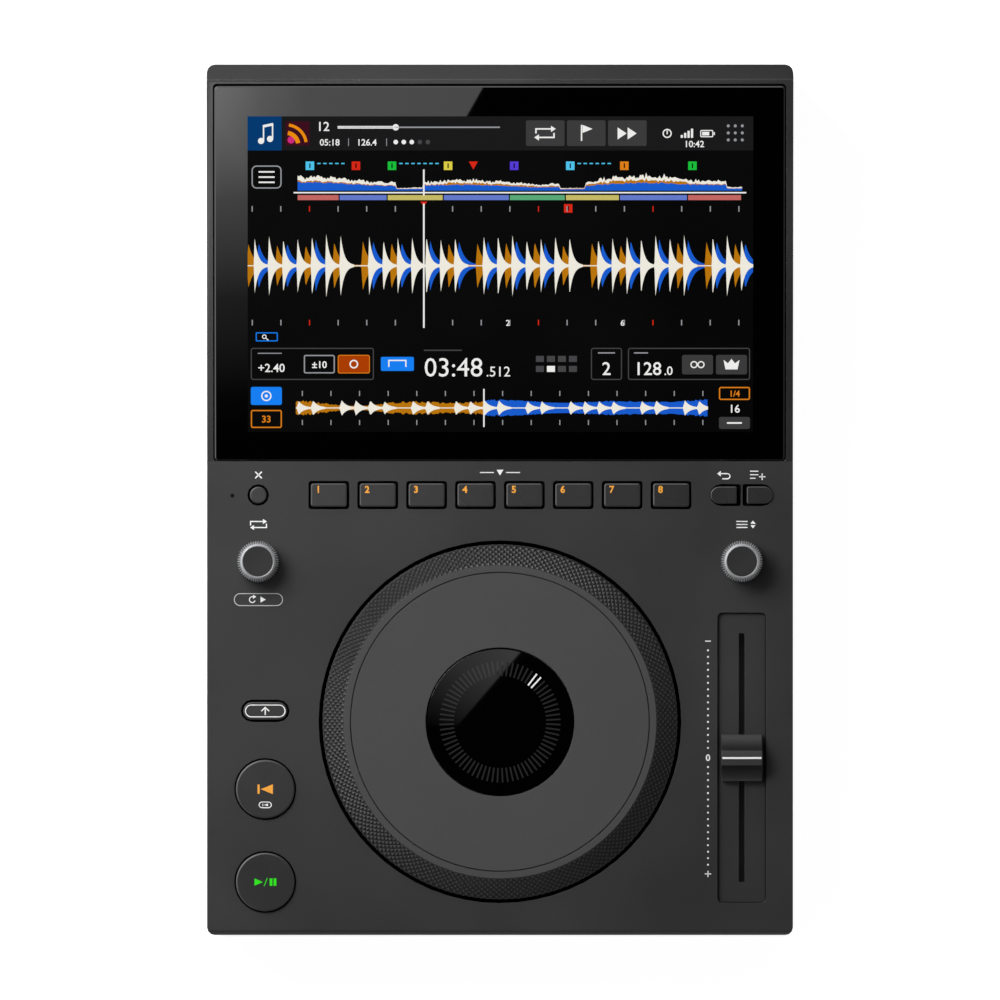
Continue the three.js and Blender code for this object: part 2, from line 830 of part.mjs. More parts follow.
function makeBracket() {
  const high = panelLow - seatGap;
  const low = high - bracketSheet;
  const width = panelWidth + 2 * bracketMargin;
  const front = panelFront - bracketMargin;
  const rear = panelFront + panelDepth + bracketMargin;
  const flange = (from) => solid(tiltedBlock(width, from, from + bracketSheet, low - bracketFlange, high));
  return join(
    solid(tiltedBlock(width, front, rear, low, high)),
    flange(front),
    flange(rear - bracketSheet),
  );
}
place(screenFrame, "screen_bracket", makeBracket(), steelSheet);

// Jog wheel: what turns (ring, plate, hub, encoder wheel) and what stays (tray, post, bush, display)
const jog = new THREE.Group();
jog.position.set(0, jogRow, 0);
player.add(jog);
const jogPlateUnder = jogTop - jogPlateThickness;
const jogSeatTop = jogPlateUnder - seatGap;
const jogSeatUnder = jogSeatTop - jogSeatThickness;
const jogSeatRadius = jogPlateRadius - jogSeatWidth;
const jogEdge = deckTop + jogEdgeHeight;
const jogSkirtLow = deckTop - jogSkirt;
const hubWebTop = jogTop - hubWebDrop;
const hubWebLow = hubWebTop - hubWeb;
const postFootLow = jogTrayFloor + jogTrayWall + seatGap;
const postFootTop = postFootLow + postFootThickness;
const bushLow = postFootTop + seatGap;
const bushOuter = postRadius + seatGap + bushWall;
const hubBore = bushOuter + runGap;
const hubOuter = hubBore + hubWall;
const hubLow = bushLow + bushFlange + runGap;
const wheelTop = hubWebLow - encoderWheelDrop;
const wheelLow = wheelTop - encoderWheelThickness;
const displayLow = hubWebTop + runGap + postHeadThickness + seatGap;
const lensLow = jogTop - lensThickness - lensSkirt;

const ringProfile = [
  [jogPlateRadius + seatGap, jogTop],
  [jogPlateRadius + seatGap, jogSeatTop],
  [jogSeatRadius, jogSeatTop],
  [jogSeatRadius, jogSeatUnder],
  [jogTopRadius, jogSeatUnder],
  [jogRadius - jogRim, jogEdge - jogRim],
  [jogRadius - jogRim, jogSkirtLow],
  [jogRadius, jogSkirtLow],
  [jogRadius, jogEdge],
  [jogTopRadius, jogTop],
  [jogPlateRadius + seatGap, jogTop],
];
place(jog, "jog_ring", turned(ringProfile, jogSides), knurlPlastic);

const plateProfile = [
  [lensRadius + lensGap, jogPlateUnder],
  [jogPlateRadius, jogPlateUnder],
  [jogPlateRadius, jogTop],
  [lensRadius + lensGap, jogTop],
  [lensRadius + lensGap, jogPlateUnder],
];
place(jog, "jog_plate", turned(plateProfile, jogSides), jogPlastic);

const innerRib = lensRadius + lensGap + hubRib;
const outerRib = jogSeatRadius + hubRib;
const hubProfile = [
  [hubBore, hubLow],
  [hubOuter, hubLow],
  [hubOuter, wheelTop + seatGap],
  [hubOuter + hubShoulder, wheelTop + seatGap],
  [hubOuter + hubShoulder, hubWebLow],
  [outerRib, hubWebLow],
  [outerRib, jogSeatUnder - seatGap],
  [jogSeatRadius, jogSeatUnder - seatGap],
  [jogSeatRadius, hubWebTop],
  [innerRib, hubWebTop],
  [innerRib, jogPlateUnder - seatGap],
  [innerRib - hubRib, jogPlateUnder - seatGap],
  [innerRib - hubRib, hubWebTop],
  [hubBore, hubWebTop],
  [hubBore, hubLow],
];
place(jog, "jog_hub", turned(hubProfile, hiddenSides), blackPlastic);

// The encoder wheel's rim is slit all round.
function makeEncoderWheel() {
  const points = [];
  for (let k = 0; k < encoderSlits * 4; k++) {
    const turn = (2 * Math.PI * k) / (encoderSlits * 4);
    const radius = encoderWheelRadius - (k % 4 < 2 ? 0 : encoderSlitDepth);
    points.push(new THREE.Vector2(radius * Math.cos(turn), radius * Math.sin(turn)));
  }
  const wheel = rise(new THREE.Shape(points), wheelLow, wheelTop);
  const bore = bar(
    hubOuter + seatGap, wheelLow - cutOverrun, wheelTop + cutOverrun, 0, 0, hiddenSides);
  return cut(wheel, bore);
}
place(jog, "jog_encoder_wheel", makeEncoderWheel(), blackPlastic);

const trayProfile = [
  [postBore, jogTrayFloor],
  [jogTrayRadius, jogTrayFloor],
  [jogTrayRadius, jogTrayTop],
  [jogTrayRadius - jogTrayWall, jogTrayTop],
  [jogTrayRadius - jogTrayWall, jogTrayFloor + jogTrayWall],
  [postBore, jogTrayFloor + jogTrayWall],
  [postBore, jogTrayFloor],
];
place(jog, "jog_tray", turned(trayProfile, knobSides), steelSheet);

const postHeadLow = hubWebTop + runGap;
const postProfile = [
  [postBore, postFootLow],
  [postFootRadius, postFootLow],
  [postFootRadius, postFootTop],
  [postRadius, postFootTop],
  [postRadius, postHeadLow],
  [roundDisplayRadius, postHeadLow],
  [roundDisplayRadius, postHeadLow + postHeadThickness],
  [postBore, postHeadLow + postHeadThickness],
  [postBore, postFootLow],
];
place(jog, "jog_post", turned(postProfile, hiddenSides), steelSheet);

const bushProfile = [
  [postRadius + seatGap, bushLow],
  [hubOuter, bushLow],
  [hubOuter, bushLow + bushFlange],
  [bushOuter, bushLow + bushFlange],
  [bushOuter, hubWebTop],
  [postRadius + seatGap, hubWebTop],
  [postRadius + seatGap, bushLow],
];
place(jog, "jog_bush", turned(bushProfile, hiddenSides), whitePlastic);

const lensProfile = [
  [0, jogTop - lensThickness],
  [roundDisplayRadius + seatGap, jogTop - lensThickness],
  [roundDisplayRadius + seatGap, lensLow],
  [lensRadius, lensLow],
  [lensRadius, jogTop],
  [0, jogTop],
];
place(jog, "jog_lens", turned(lensProfile, jogSides), blackGlass);
const roundDisplay = bar(
  roundDisplayRadius, displayLow, jogTop - lensThickness - seatGap, 0, 0, knobSides);
place(jog, "jog_display", roundDisplay, panelBlack);

function makeSensor() {
  const reach = encoderWheelRadius + sensorGap;
  const near = reach - sensorReach / 2;
  const low = jogTrayFloor + jogTrayWall + seatGap;
  const middle = (wheelLow + wheelTop) / 2;
  return cut(
    block(near, -sensorWidth / 2, low, near + sensorReach, sensorWidth / 2, wheelTop + sensorRoof),
    block(
      near - cutOverrun, -sensorWidth / 2 - cutOverrun, middle - sensorSlot / 2,
      reach, sensorWidth / 2 + cutOverrun, middle + sensorSlot / 2,
    ),
  );
}
place(jog, "jog_sensor", makeSensor(), blackPlastic);

// Keys: a cap through the deck, a flange that stops it under the deck and a stem over its switch
for (const { name, x, y, shape, gap, proud, travel } of keys) {
  const flangeTop = deckUnder - runGap;
  const flangeLow = flangeTop - flangeThickness;
  const overlap = flangeThickness / 2;
  const key = join(
    rise(shape(0), flangeTop - overlap, deckTop + proud),
    rise(shape(gap + keyFlange), flangeLow, flangeTop),
    bar(stemRadius, switchTop + travel + runGap, flangeLow + overlap, 0, 0, boltSides),
  );
  place(player, name, key, keyPlastic, x, y);
}

// The board behind the keys, one piece with its switches: a leg runs down the transport keys' side
function makePanelBoard() {
  const side = halfWidth - boardInset;
  const low = boardTop - boardThickness;
  const front = faderRow + faderBodyLength / 2 + boardFaderGap;
  const wide = block(-side, front, low, side, screenFront + boardRear, boardTop);
  const leg = block(
    -side, -halfDepth + bossReach + boardBossGap, low,
    -side + boardLegWidth, front + boardLegWidth, boardTop,
  );
  const jogRoom = bar(
    jogTrayRadius + boardJogGap, low - cutOverrun, boardTop + cutOverrun, 0, jogRow, knobSides);
  const switches = keys.map(({ x, y }) =>
    block(
      x - switchWidth / 2, y - switchWidth / 2, boardTop - boardThickness / 2,
      x + switchWidth / 2, y + switchWidth / 2, switchTop,
    ));
  return join(cut(join(wide, leg), jogRoom), ...switches);
}
place(player, "panel_board", makePanelBoard(), greenBoard);

// Push and turn encoders
const encoderLow = boardTop + seatGap;
const encoderTop = encoderLow + encoderHeight;
const encoderRoofLow = encoderTop - encoderRoof;
const plungerTop = encoderRoofLow - runGap;
const plungerLow = plungerTop - plungerThickness;
const knobLow = deckTop + knobTravel + knobLift;
const shaftTop = knobLow + shaftInKnob;
const shaftBore = shaftRadius + runGap;
const knobProfile = [
  [0, shaftInKnob + seatGap],
  [shaftBore, shaftInKnob + seatGap],
  [shaftBore, 0],
  [knobRadius, 0],
  [knobShoulderRadius, knobHeight - knobChamfer],
  [knobTopRadius, knobHeight],
  [inlayRadius + seatGap, knobHeight],
  [inlayRadius + seatGap, knobHeight - inlayThickness - seatGap],
  [0, knobHeight - inlayThickness - seatGap],
];
for (const [side, x] of [["loop", leftColumn], ["browse", rightColumn]]) {
  const control = new THREE.Group();
  control.position.set(x, knobRow, 0);
  player.add(control);
  const half = encoderWidth / 2;
  const housing = cut(
    join(
      block(-half, -half, encoderLow, half, half, encoderTop),
      bar(bushingRadius, encoderTop - encoderRoof / 2, deckTop - bushingDrop),
    ),
    bar(shaftBore, encoderRoofLow - cutOverrun, deckTop),
    bar(plungerRadius + runGap, plungerLow - knobTravel - runGap, encoderRoofLow),
  );
  place(control, side + "_encoder_body", housing, steelSheet);
  const plunger = bar(plungerRadius, plungerLow, plungerTop);
  place(control, side + "_encoder_plunger", plunger, whitePlastic);
  place(control, side + "_encoder_shaft", bar(shaftRadius, plungerTop + runGap, shaftTop), steelSheet);
  place(control, side + "_knob", turned(knobProfile, knobSides), knobMetal, 0, 0, knobLow);
  const inlay = bar(inlayRadius, -inlayThickness, 0, 0, 0, knobSides);
  place(control, side + "_knob_cap", inlay, keyPlastic, 0, 0, knobLow + knobHeight);
}

// Tempo fader: body under the deck, carriage with its lever, and the knob on the lever
const fader = new THREE.Group();
fader.position.set(rightColumn, faderRow, 0);
player.add(fader);
const faderTop = faderUnder - seatGap;
const faderLow = faderTop - faderBodyHeight;
const channelFloor = faderLow + faderBodyWall;
const channelWidth = faderBodyWidth - 2 * faderBodyWall;
const faderBody = cut(
  rise(rectangle(faderBodyWidth, faderBodyLength), faderLow, faderTop),
  rise(rectangle(channelWidth, channelLength), channelFloor, faderTop + cutOverrun),
);
place(fader, "tempo_fader_body", faderBody, darkSteel);

const carriageLow = channelFloor + runGap;
const faderKnobLow = deckTop - faderRecessDepth + faderKnobLift;
const leverTop = faderKnobLow + leverInKnob;
const carriage = join(
  rise(
    rectangle(channelWidth - 2 * runGap, carriageLength), carriageLow, carriageLow + carriageHeight),
  rise(rectangle(leverWidth, leverLength), carriageLow + carriageHeight / 2, leverTop),
);
place(fader, "tempo_slider", carriage, steelSheet);

// The knob's long slopes sweep up, ever steeper, to the ridge that the thumb rests on.
function makeFaderKnob() {
  const end = faderKnobLength / 2;
  const ridge = faderRidge / 2;
  const sweepSteps = 6;
  const side = [];
  for (let k = 0; k <= sweepSteps; k++) {
    const turn = (Math.PI / 2) * (k / sweepSteps);
    side.push([
      end - (end - ridge) * Math.sin(turn),
      faderKnobEnd + (faderKnobHeight - faderKnobEnd) * (1 - Math.cos(turn)),
    ]);
  }
  const mirrored = side.map(([y, z]) => [-y, z]).reverse();
  const profile = [[-end, 0], [end, 0], ...side, ...mirrored];
  const pocket = rise(
    rectangle(leverWidth + 2 * seatGap, leverLength + 2 * seatGap), -cutOverrun, leverInKnob + seatGap);
  return cut(across(profile, faderKnobWidth), pocket);
}
place(fader, "tempo_knob", makeFaderKnob(), keyPlastic, 0, 0, faderKnobLow);

// Mains inlet: a shrouded socket with three blades
function makeInlet() {
  const rear = recessPlane + inletFlange;
  const back = panelFace - rearSheet - inletDepth;
  const tall = inletTall / 2;
  const wide = inletWidth / 2;
  const shroud = block(-wide, back, -tall, wide, rear, tall);
  const flange = block(
    -wide - inletLip, recessPlane, -tall - inletLip, wide + inletLip, rear, tall + inletLip);
  const depth = inletFlange + seatGap + rearSheet + inletDepth - inletWall;
  const cavity = rise(
    outline([
      [-wide + inletWall, -tall + inletWall],
      [wide - inletWall, -tall + inletWall],
      [wide - inletWall, tall - inletWall - inletCornerCut],
      [wide - inletWall - inletCornerCut, tall - inletWall],
      [-wide + inletWall + inletCornerCut, tall - inletWall],
      [-wide + inletWall, tall - inletWall - inletCornerCut],
    ]),
    -cutOverrun,
    depth,
  );
  const facingBack = cavity.rotate([90, 0, 0]).translate([0, rear, 0]);
  const blades = [-1, 0, 1].map((k) => {
    const middle = k === 0 ? earthRise : -earthRise / 2;
    return block(
      k * bladePitch - bladeThickness / 2, back + inletWall / 2, middle - bladeTall / 2,
      k * bladePitch + bladeThickness / 2, back + inletWall + bladeLength, middle + bladeTall / 2,
    );
  });
  return join(cut(join(shroud, flange), facingBack), ...blades);
}
place(player, "ac_inlet", makeInlet(), blackPlastic, inletCentre, 0, inletHeight);

// Power switch: a frame in the panel and a rocker that tips about a cross axis
const rockerAxis = recessPlane - rockerPivotDepth;
function makeSwitchBody() {
  const wide = rockerWidth / 2 + rockerFrame;
  const tall = rockerTall / 2 + rockerFrame;
  const rear = recessPlane + inletFlange;
  const wall = rockerFrame - runGap;
  return cut(
    join(
      block(-wide, panelFace - rearSheet - rockerBodyDepth, -tall, wide, rear, tall),
      block(
        -wide - rockerFrame, recessPlane, -tall - rockerFrame,
        wide + rockerFrame, rear, tall + rockerFrame,
      ),
    ),
    block(
      -wide + wall, rockerAxis - rockerDepth, -tall + wall - runGap,
      wide - wall, rear + cutOverrun, tall - wall + runGap,
    ),
  );
}
place(player, "power_switch_body", makeSwitchBody(), blackPlastic, rockerCentre, 0, inletHeight);
const rockerHalf = rockerTall / 2;
const rocker = across(
  [
    [-rockerDepth / 2, -rockerHalf],
    [rockerFace, -rockerHalf],
    [rockerDip, 0],
    [rockerFace, rockerHalf],
    [-rockerDepth / 2, rockerHalf],
  ],
  rockerWidth,
);
const rockerMesh = place(
  player, "power_rocker", rocker, keyPlastic, rockerCentre, rockerAxis, inletHeight);
rockerMesh.rotation.x = THREE.MathUtils.degToRad(rockerTiltDegrees);

// Network, USB and audio jacks, standing on the main board and reaching through the rear panel
function makeLanJack() {
  const wide = lanWidth / 2;
  const tall = lanTall / 2;
  const cavityLow = -tall + lanWall;
  return cut(
    block(-wide, panelFace - rearSheet - lanDepth, -tall, wide, recessPlane + inletFlange / 2, tall),
    block(
      -lanCavityWidth / 2, recessPlane - lanCavityDepth, cavityLow,
      lanCavityWidth / 2, halfDepth, cavityLow + lanCavityTall,
    ),
  );
}
place(player, "lan_jack", makeLanJack(), steelSheet, lanCentre, 0, lanMiddle);

function makeUsbJack() {
  const wide = usbWidth / 2;
  const tall = usbTall / 2;
  const rear = recessPlane + inletFlange / 2;
  const shell = cut(
    block(-wide, panelFace - rearSheet - usbDepth, -tall, wide, rear, tall),
    block(
      -wide + usbWall, rear - usbCavityDepth, -tall + usbWall,
      wide - usbWall, halfDepth, tall - usbWall,
    ),
  );
  const tongue = block(
    -wide + usbWall + usbTongueInset, rear - usbCavityDepth - usbWall, -usbTongueTall / 2,
    wide - usbWall - usbTongueInset, rear - usbTongueInset, usbTongueTall / 2,
  );
  return join(shell, tongue);
}
place(player, "usb_jack", makeUsbJack(), steelSheet, usbCentre, 0, usbMiddle);

function makeAudioJacks() {
  const front = panelFace - rearSheet - seatGap;
  const base = block(
    -audioWidth / 2, front - audioDepth, -audioTall / 2, audioWidth / 2, front, audioTall / 2);
  const places = [-audioPitch / 2, audioPitch / 2];
  const barrels = places.map((x) =>
    lyingBar(audioBarrelRadius, front - seatGap, recessPlane + audioBarrelLength, x, 0));
  const bores = places.map((x) =>
    lyingBar(audioBore, front, recessPlane + audioBarrelLength + cutOverrun, x, 0));
  return cut(join(base, ...barrels), ...bores);
}
place(player, "audio_jacks", makeAudioJacks(), brass, audioCentre, 0, audioMiddle);

// Main board with its processor and heat sink, and the power supply board
function circuitBoard({ left, right, front, rear }, low) {
  return block(left, front, low, right, rear, low + boardThickness);
}
const lowBoard = trayTop + standoffHeight + seatGap;
const boardOverlap = boardThickness / 2;

function makeMainBoard() {
  const face = lowBoard + boardThickness;
  const x = (mainBoard.left + mainBoard.right - chipWidth) / 2;
  const y = mainBoard.front + chipSetback;
  const square = (left, high) =>
    block(left, y, face - boardOverlap, left + chipWidth, y + chipWidth, face + high);
  return join(
    circuitBoard(mainBoard, lowBoard),
    square(x, chipTall),
    square(x + heatSinkPitch, heatSinkTall),
  );
}
place(player, "main_board", makeMainBoard(), greenBoard);

function makeSupply() {
  const face = lowBoard + boardThickness;
  const x = (supply.left + supply.right) / 2;
  const y = (supply.front + supply.rear) / 2;
  const canOffset = (supply.right - supply.left) / 2 - supplyCan - supplyCanMargin;
  const coil = block(
    x - supplyBlock / 2, y - supplyBlock / 2, face - boardOverlap,
    x + supplyBlock / 2, y + supplyBlock / 2, face + supplyTall,
  );
  const cans = [-1, 1].map((k) =>
    bar(supplyCan, face - boardOverlap, face + supplyCanTall, x + k * canOffset, y));
  return join(circuitBoard(supply, lowBoard), coil, ...cans);
}
place(player, "power_supply", makeSupply(), greenBoard);

export default player;
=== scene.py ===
"""Looks of the tabletop DJ media player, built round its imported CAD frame.

Sizes are in millimetres here and become metres where a mesh is made. +X is right, +Y is the rear, +Z is up.
"""

import json
import math

import bmesh
import bpy
from mathutils import Matrix, Vector

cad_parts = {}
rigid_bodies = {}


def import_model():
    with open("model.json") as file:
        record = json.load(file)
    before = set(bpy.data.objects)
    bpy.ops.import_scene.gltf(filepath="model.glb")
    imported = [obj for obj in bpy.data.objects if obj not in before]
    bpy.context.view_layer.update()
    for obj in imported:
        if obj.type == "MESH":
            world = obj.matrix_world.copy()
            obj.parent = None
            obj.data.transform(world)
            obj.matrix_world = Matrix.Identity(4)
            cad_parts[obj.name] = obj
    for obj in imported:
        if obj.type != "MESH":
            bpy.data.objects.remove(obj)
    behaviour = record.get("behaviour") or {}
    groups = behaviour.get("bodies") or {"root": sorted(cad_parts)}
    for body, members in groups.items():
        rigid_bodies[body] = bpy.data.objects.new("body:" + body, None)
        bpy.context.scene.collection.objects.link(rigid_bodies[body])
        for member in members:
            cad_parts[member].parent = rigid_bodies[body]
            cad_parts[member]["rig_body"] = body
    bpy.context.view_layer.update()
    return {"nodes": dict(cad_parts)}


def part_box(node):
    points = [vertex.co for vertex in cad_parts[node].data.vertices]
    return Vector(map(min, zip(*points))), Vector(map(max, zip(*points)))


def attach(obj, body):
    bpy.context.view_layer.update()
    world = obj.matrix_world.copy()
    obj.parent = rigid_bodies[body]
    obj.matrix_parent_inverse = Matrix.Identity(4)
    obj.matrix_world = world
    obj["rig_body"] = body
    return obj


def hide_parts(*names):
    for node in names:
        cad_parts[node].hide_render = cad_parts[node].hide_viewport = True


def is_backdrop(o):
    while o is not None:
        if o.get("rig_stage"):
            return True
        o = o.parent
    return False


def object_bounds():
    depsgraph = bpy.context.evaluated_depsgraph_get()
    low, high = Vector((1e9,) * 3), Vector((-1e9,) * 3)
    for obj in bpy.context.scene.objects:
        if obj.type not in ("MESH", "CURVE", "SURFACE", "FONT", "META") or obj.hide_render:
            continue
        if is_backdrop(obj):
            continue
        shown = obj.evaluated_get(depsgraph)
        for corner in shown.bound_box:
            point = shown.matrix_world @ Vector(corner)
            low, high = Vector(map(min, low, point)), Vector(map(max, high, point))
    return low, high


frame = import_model()

MM = 0.001
FULL = 2 * math.pi


# Places, from the frame

def node_box(name):
    """A CAD node's lowest and highest corner in millimetres."""
    low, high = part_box(name)
    return low / MM, high / MM


def node_centre(name):
    low, high = node_box(name)
    return (low + high) / 2


HALF_WIDTH, HALF_DEPTH, _ = node_box("top_case")[1]
DECK = 82.0
SCREEN_FRONT = 16.6
TILT = math.radians(6)
SLOPE = Matrix.Translation((0, SCREEN_FRONT, DECK)) @ Matrix.Rotation(TILT, 4, "X")
RECESS = Vector((103.85, -110.75))
RECESS_HALF = Vector((10.45, 62.35))
RECESS_DEPTH = 2.0
JOG = node_centre("jog_ring")
JOG_RADIUS, _, JOG_TOP = node_box("jog_ring")[1]
PLATE_RADIUS = node_box("jog_plate")[1].x
LENS_RADIUS = node_box("jog_lens")[1].x


# Meshes

def linked(name, data):
    """A new object of the scene with this mesh, curve, lamp or camera."""
    made = bpy.data.objects.new(name, data)
    bpy.context.scene.collection.objects.link(made)
    return made


def new_piece(name, shape, material, body, replaced=(), smooth=30.0, matrix=None, second=None):
    """A mesh piece riding on a CAD body.

    shape is its points in millimetres, its faces and, with grooves, each point's share of a ridge (0 to 1),
    which sets how much painted shade its material puts there.
    second tells which of its materials a face has.
    """
    points, faces, *ridge = shape
    mesh = bpy.data.meshes.new(name)
    mesh.from_pydata([(matrix @ Vector(p) if matrix else Vector(p)) * MM for p in points], [], faces)
    mesh.validate()
    if second:
        for face in mesh.polygons:
            face.material_index = int(second(face.center / MM))
    if ridge:
        mesh.attributes.new("ridge", "FLOAT", "POINT").data.foreach_set("value", ridge[0])
    return finish_piece(name, mesh, material, body, replaced, smooth)


def finish_piece(name, mesh, materials, body, replaced, smooth):
    for material in materials if isinstance(materials, list) else [materials]:
        mesh.materials.append(material)
    piece = linked(name, mesh)
    if smooth:
        mesh.shade_smooth()
        mesh.set_sharp_from_angle(angle=math.radians(smooth))
        piece.modifiers.new("weights", "WEIGHTED_NORMAL").keep_sharp = True
    else:
        mesh.shade_flat()
    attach(piece, body)
    if replaced:
        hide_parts(*replaced)
    return piece


SHARP_EDGE = math.radians(28)


def dressed(node, material, width, segments=2, wide=None, wide_width=0.0, moved=None, second=None):
    """A copy of a CAD node with its flat faces merged and its edges rounded.

    wide picks edges for a bigger rounding, moved shifts points first, second tells a face's material.
    """
    build = bmesh.new()
    build.from_mesh(frame["nodes"][node].data)
    bmesh.ops.remove_doubles(build, verts=build.verts, dist=0.002 * MM)
    bmesh.ops.dissolve_limit(build, angle_limit=math.radians(0.4), verts=build.verts, edges=build.edges)
    if moved:
        for vertex in build.verts:
            vertex.co = moved(vertex.co / MM) * MM

    def bevel(picked, offset, segments, profile):
        sharp = [e for e in build.edges if len(e.link_faces) == 2 and e.calc_face_angle() > SHARP_EDGE]
        bmesh.ops.bevel(
            build, geom=[e for e in sharp if picked(e)], affect="EDGES", clamp_overlap=False,
            offset=offset * MM, segments=segments, profile=profile
        )

    if wide:
        bevel(lambda e: all(wide(v.co / MM) for v in e.verts), wide_width, 1, 0.5)
    bevel(lambda e: e.calc_length() > 2 * width * MM, width, segments, 0.6)
    if second:
        for face in build.faces:
            face.material_index = int(second(face.calc_center_median() / MM))
    mesh = bpy.data.meshes.new(node + "_dressed")
    build.to_mesh(mesh)
    build.free()
    body = frame["nodes"][node]["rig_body"]
    return finish_piece(node + "_dressed", mesh, material, body, [node], 30.0)


def rounded(width, depth, radius, steps=8):
    """A rounded rectangle about the origin, anticlockwise, with as many points whatever its size."""
    points = []
    for turn, (sx, sy) in enumerate([(1, -1), (1, 1), (-1, 1), (-1, -1)]):
        cx = sx * (width / 2 - radius)
        cy = sy * (depth / 2 - radius)
        for k in range(steps + 1):
            angle = math.pi / 2 * (turn - 1 + k / steps)
            points.append((cx + radius * math.cos(angle), cy + radius * math.sin(angle)))
    return points


def ring(radius, sides):
    turns = [FULL * k / sides for k in range(sides)]
    return [(radius * math.cos(turn), radius * math.sin(turn)) for turn in turns]


def shifted(outline, x, y):
    return [(a + x, b + y) for a, b in outline]


def lofted(levels, centre=(0.0, 0.0), hollow=False):
    """A closed stack of outlines with equal point counts: levels is a list of (outline, z).

    A hollow one has no ends, and its last outline is joined to its first.
    """
    count = len(levels[0][0])
    points = [(x, y, z) for outline, z in levels for x, y in shifted(outline, *centre)]
    last = len(points) - count
    faces = [] if hollow else [tuple(reversed(range(count))), tuple(range(last, last + count))]
    for here in range(0, last + count if hollow else last, count):
        there = (here + count) % len(points)
        for k in range(count):
            after = (k + 1) % count
            faces.append((here + k, here + after, there + after, there + k))
    return points, faces


def lathe(profile, sides, centre=(0.0, 0.0), base=0.0):
    """A closed anticlockwise profile of (radius, height over base), turned about Z, axis points shared."""
    points = []
    faces = []
    rows = []
    for radius, z in profile:
        around = shifted(ring(radius, sides) if radius else [(0.0, 0.0)], *centre)
        rows.append([len(points) + k % len(around) for k in range(sides)])
        points += [(x, y, base + z) for x, y in around]
    for row, after in zip(rows, rows[1:] + rows[:1]):
        for k in range(sides):
            j = (k + 1) % sides
            corners = tuple(dict.fromkeys((row[k], row[j], after[j], after[k])))
            if len(corners) > 2:
                faces.append(corners)
    return points, faces


def chamfer(shape, top, width):
    """Levels that slant the top edge of a raised outline with soft ends: shape(inset) gives the outline."""
    steps = ((0.0, 0.75), (0.08, 0.6), (0.85, 0.06), (1.0, 0.0))
    return [(shape(width * inset), top - width * drop) for inset, drop in steps]


# Materials

class Nodes:
    """The nodes of a material or of the world. Most methods add a node and give its output."""

    def __init__(self, owner):
        owner.use_nodes = True
        self.owner = owner
        self.tree = owner.node_tree

    def feed(self, target, inputs):
        """Links the inputs that come from another node and sets the others on the node itself."""
        for name, value in inputs.items():
            if isinstance(value, bpy.types.NodeSocket):
                self.tree.links.new(value, target.inputs[name])
            else:
                target.inputs[name].default_value = value

    def node(self, kind, output, inputs, **settings):
        made = self.tree.nodes.new("ShaderNode" + kind)
        for name, value in settings.items():
            setattr(made, name, value)
        self.feed(made, inputs)
        return made.outputs[output]

    def end(self, inputs, last="Principled BSDF"):
        """Feeds the last node and gives the finished material or world."""
        self.feed(self.tree.nodes[last], inputs)
        return self.owner

    def surface(self, colour, roughness, normal=None, specular=0.5, metallic=0.0):
        """Feeds the shader with what every surface has and gives the material."""
        if normal:
            self.end({"Normal": normal})
        self.end({"Specular IOR Level": specular, "Metallic": metallic})
        return self.end({"Base Color": colour, "Roughness": roughness})

    def place(self):
        return self.node("TexCoord", "Object", {})

    def noise(self, scale, detail=3.0, roughness=0.5, vector=None):
        inputs = {"Vector": vector or self.place(), "Scale": scale, "Detail": detail, "Roughness": roughness}
        return self.node("TexNoise", "Fac", inputs)

    def ramp(self, value, *stops):
        colour = self.node("ValToRGB", "Color", {"Fac": value})
        elements = colour.node.color_ramp.elements
        while len(elements) < len(stops):
            elements.new(0.5)
        for element, (at, tone) in zip(elements, stops):
            element.position = at
            element.color = (*tone, 1.0)
        return colour

    def spread(self, value, low, high, from_low=0.3, from_high=0.7):
        inputs = {"Value": value, "From Min": from_low, "From Max": from_high, "To Min": low, "To Max": high}
        return self.node("MapRange", "Result", inputs)

    def bump(self, height, distance):
        return self.node("Bump", "Normal", {"Height": height, "Strength": 1.0, "Distance": distance * MM})

    def mix(self, share, first, second, blend="MIX"):
        inputs = {"Factor": share, "A": first, "B": second}
        return self.node("Mix", "Result", inputs, data_type="RGBA", blend_type=blend)

    def ridges(self):
        """Painted shade: 0 in the grooves of a mesh, which are painted darkest, and 1 on its ridges."""
        return self.node("Attribute", "Fac", {}, attribute_name="ridge")


def new_material(name):
    return Nodes(bpy.data.materials.new(name))


def grey(level):
    """The linear value of an sRGB grey from 0 to 255."""
    share = level / 255
    return share / 12.92 if share <= 0.04045 else ((share + 0.055) / 1.055) ** 2.4


def tint(red, green, blue):
    return (grey(red), grey(green), grey(blue))


def plain(level):
    return tint(level, level, level)


def scaled(colour, share):
    return tuple(c * share for c in colour)


def moulded(name, colour, roughness, grain, depth, contrast, specular=0.5):
    """Moulded plastic or paint: a fine grain, soft patches of gloss and a little colour variation."""
    make = new_material(name)
    broad = make.noise(18.0)
    speck = make.noise(900.0, 2.0, 0.7)
    fine = make.noise(1 / (grain * MM), 2.0, 0.6)
    parts = {0: make.spread(broad, -0.5, 0.5), 1: make.spread(speck, 0.0, 1.0)}
    mixed = make.node("Math", 0, parts, operation="ADD")
    stops = (0.0, scaled(colour, 1 - contrast)), (0.5, colour), (1.0, scaled(colour, 1 + contrast))
    patches = make.spread(broad, roughness - 0.05, roughness + 0.05)
    return make.surface(make.ramp(mixed, *stops), patches, make.bump(fine, depth), specular)


def gloss(name, colour, roughness):
    """Black glass: a few wiping marks in its gloss, nothing in its form."""
    make = new_material(name)
    pale = tuple(c + 0.002 for c in colour)
    dust = make.ramp(make.noise(700.0, 1.0), (0.0, colour), (0.7, colour), (1.0, pale))
    return make.surface(dust, make.spread(make.noise(14.0, 5.0, 0.6), roughness, roughness * 1.8))


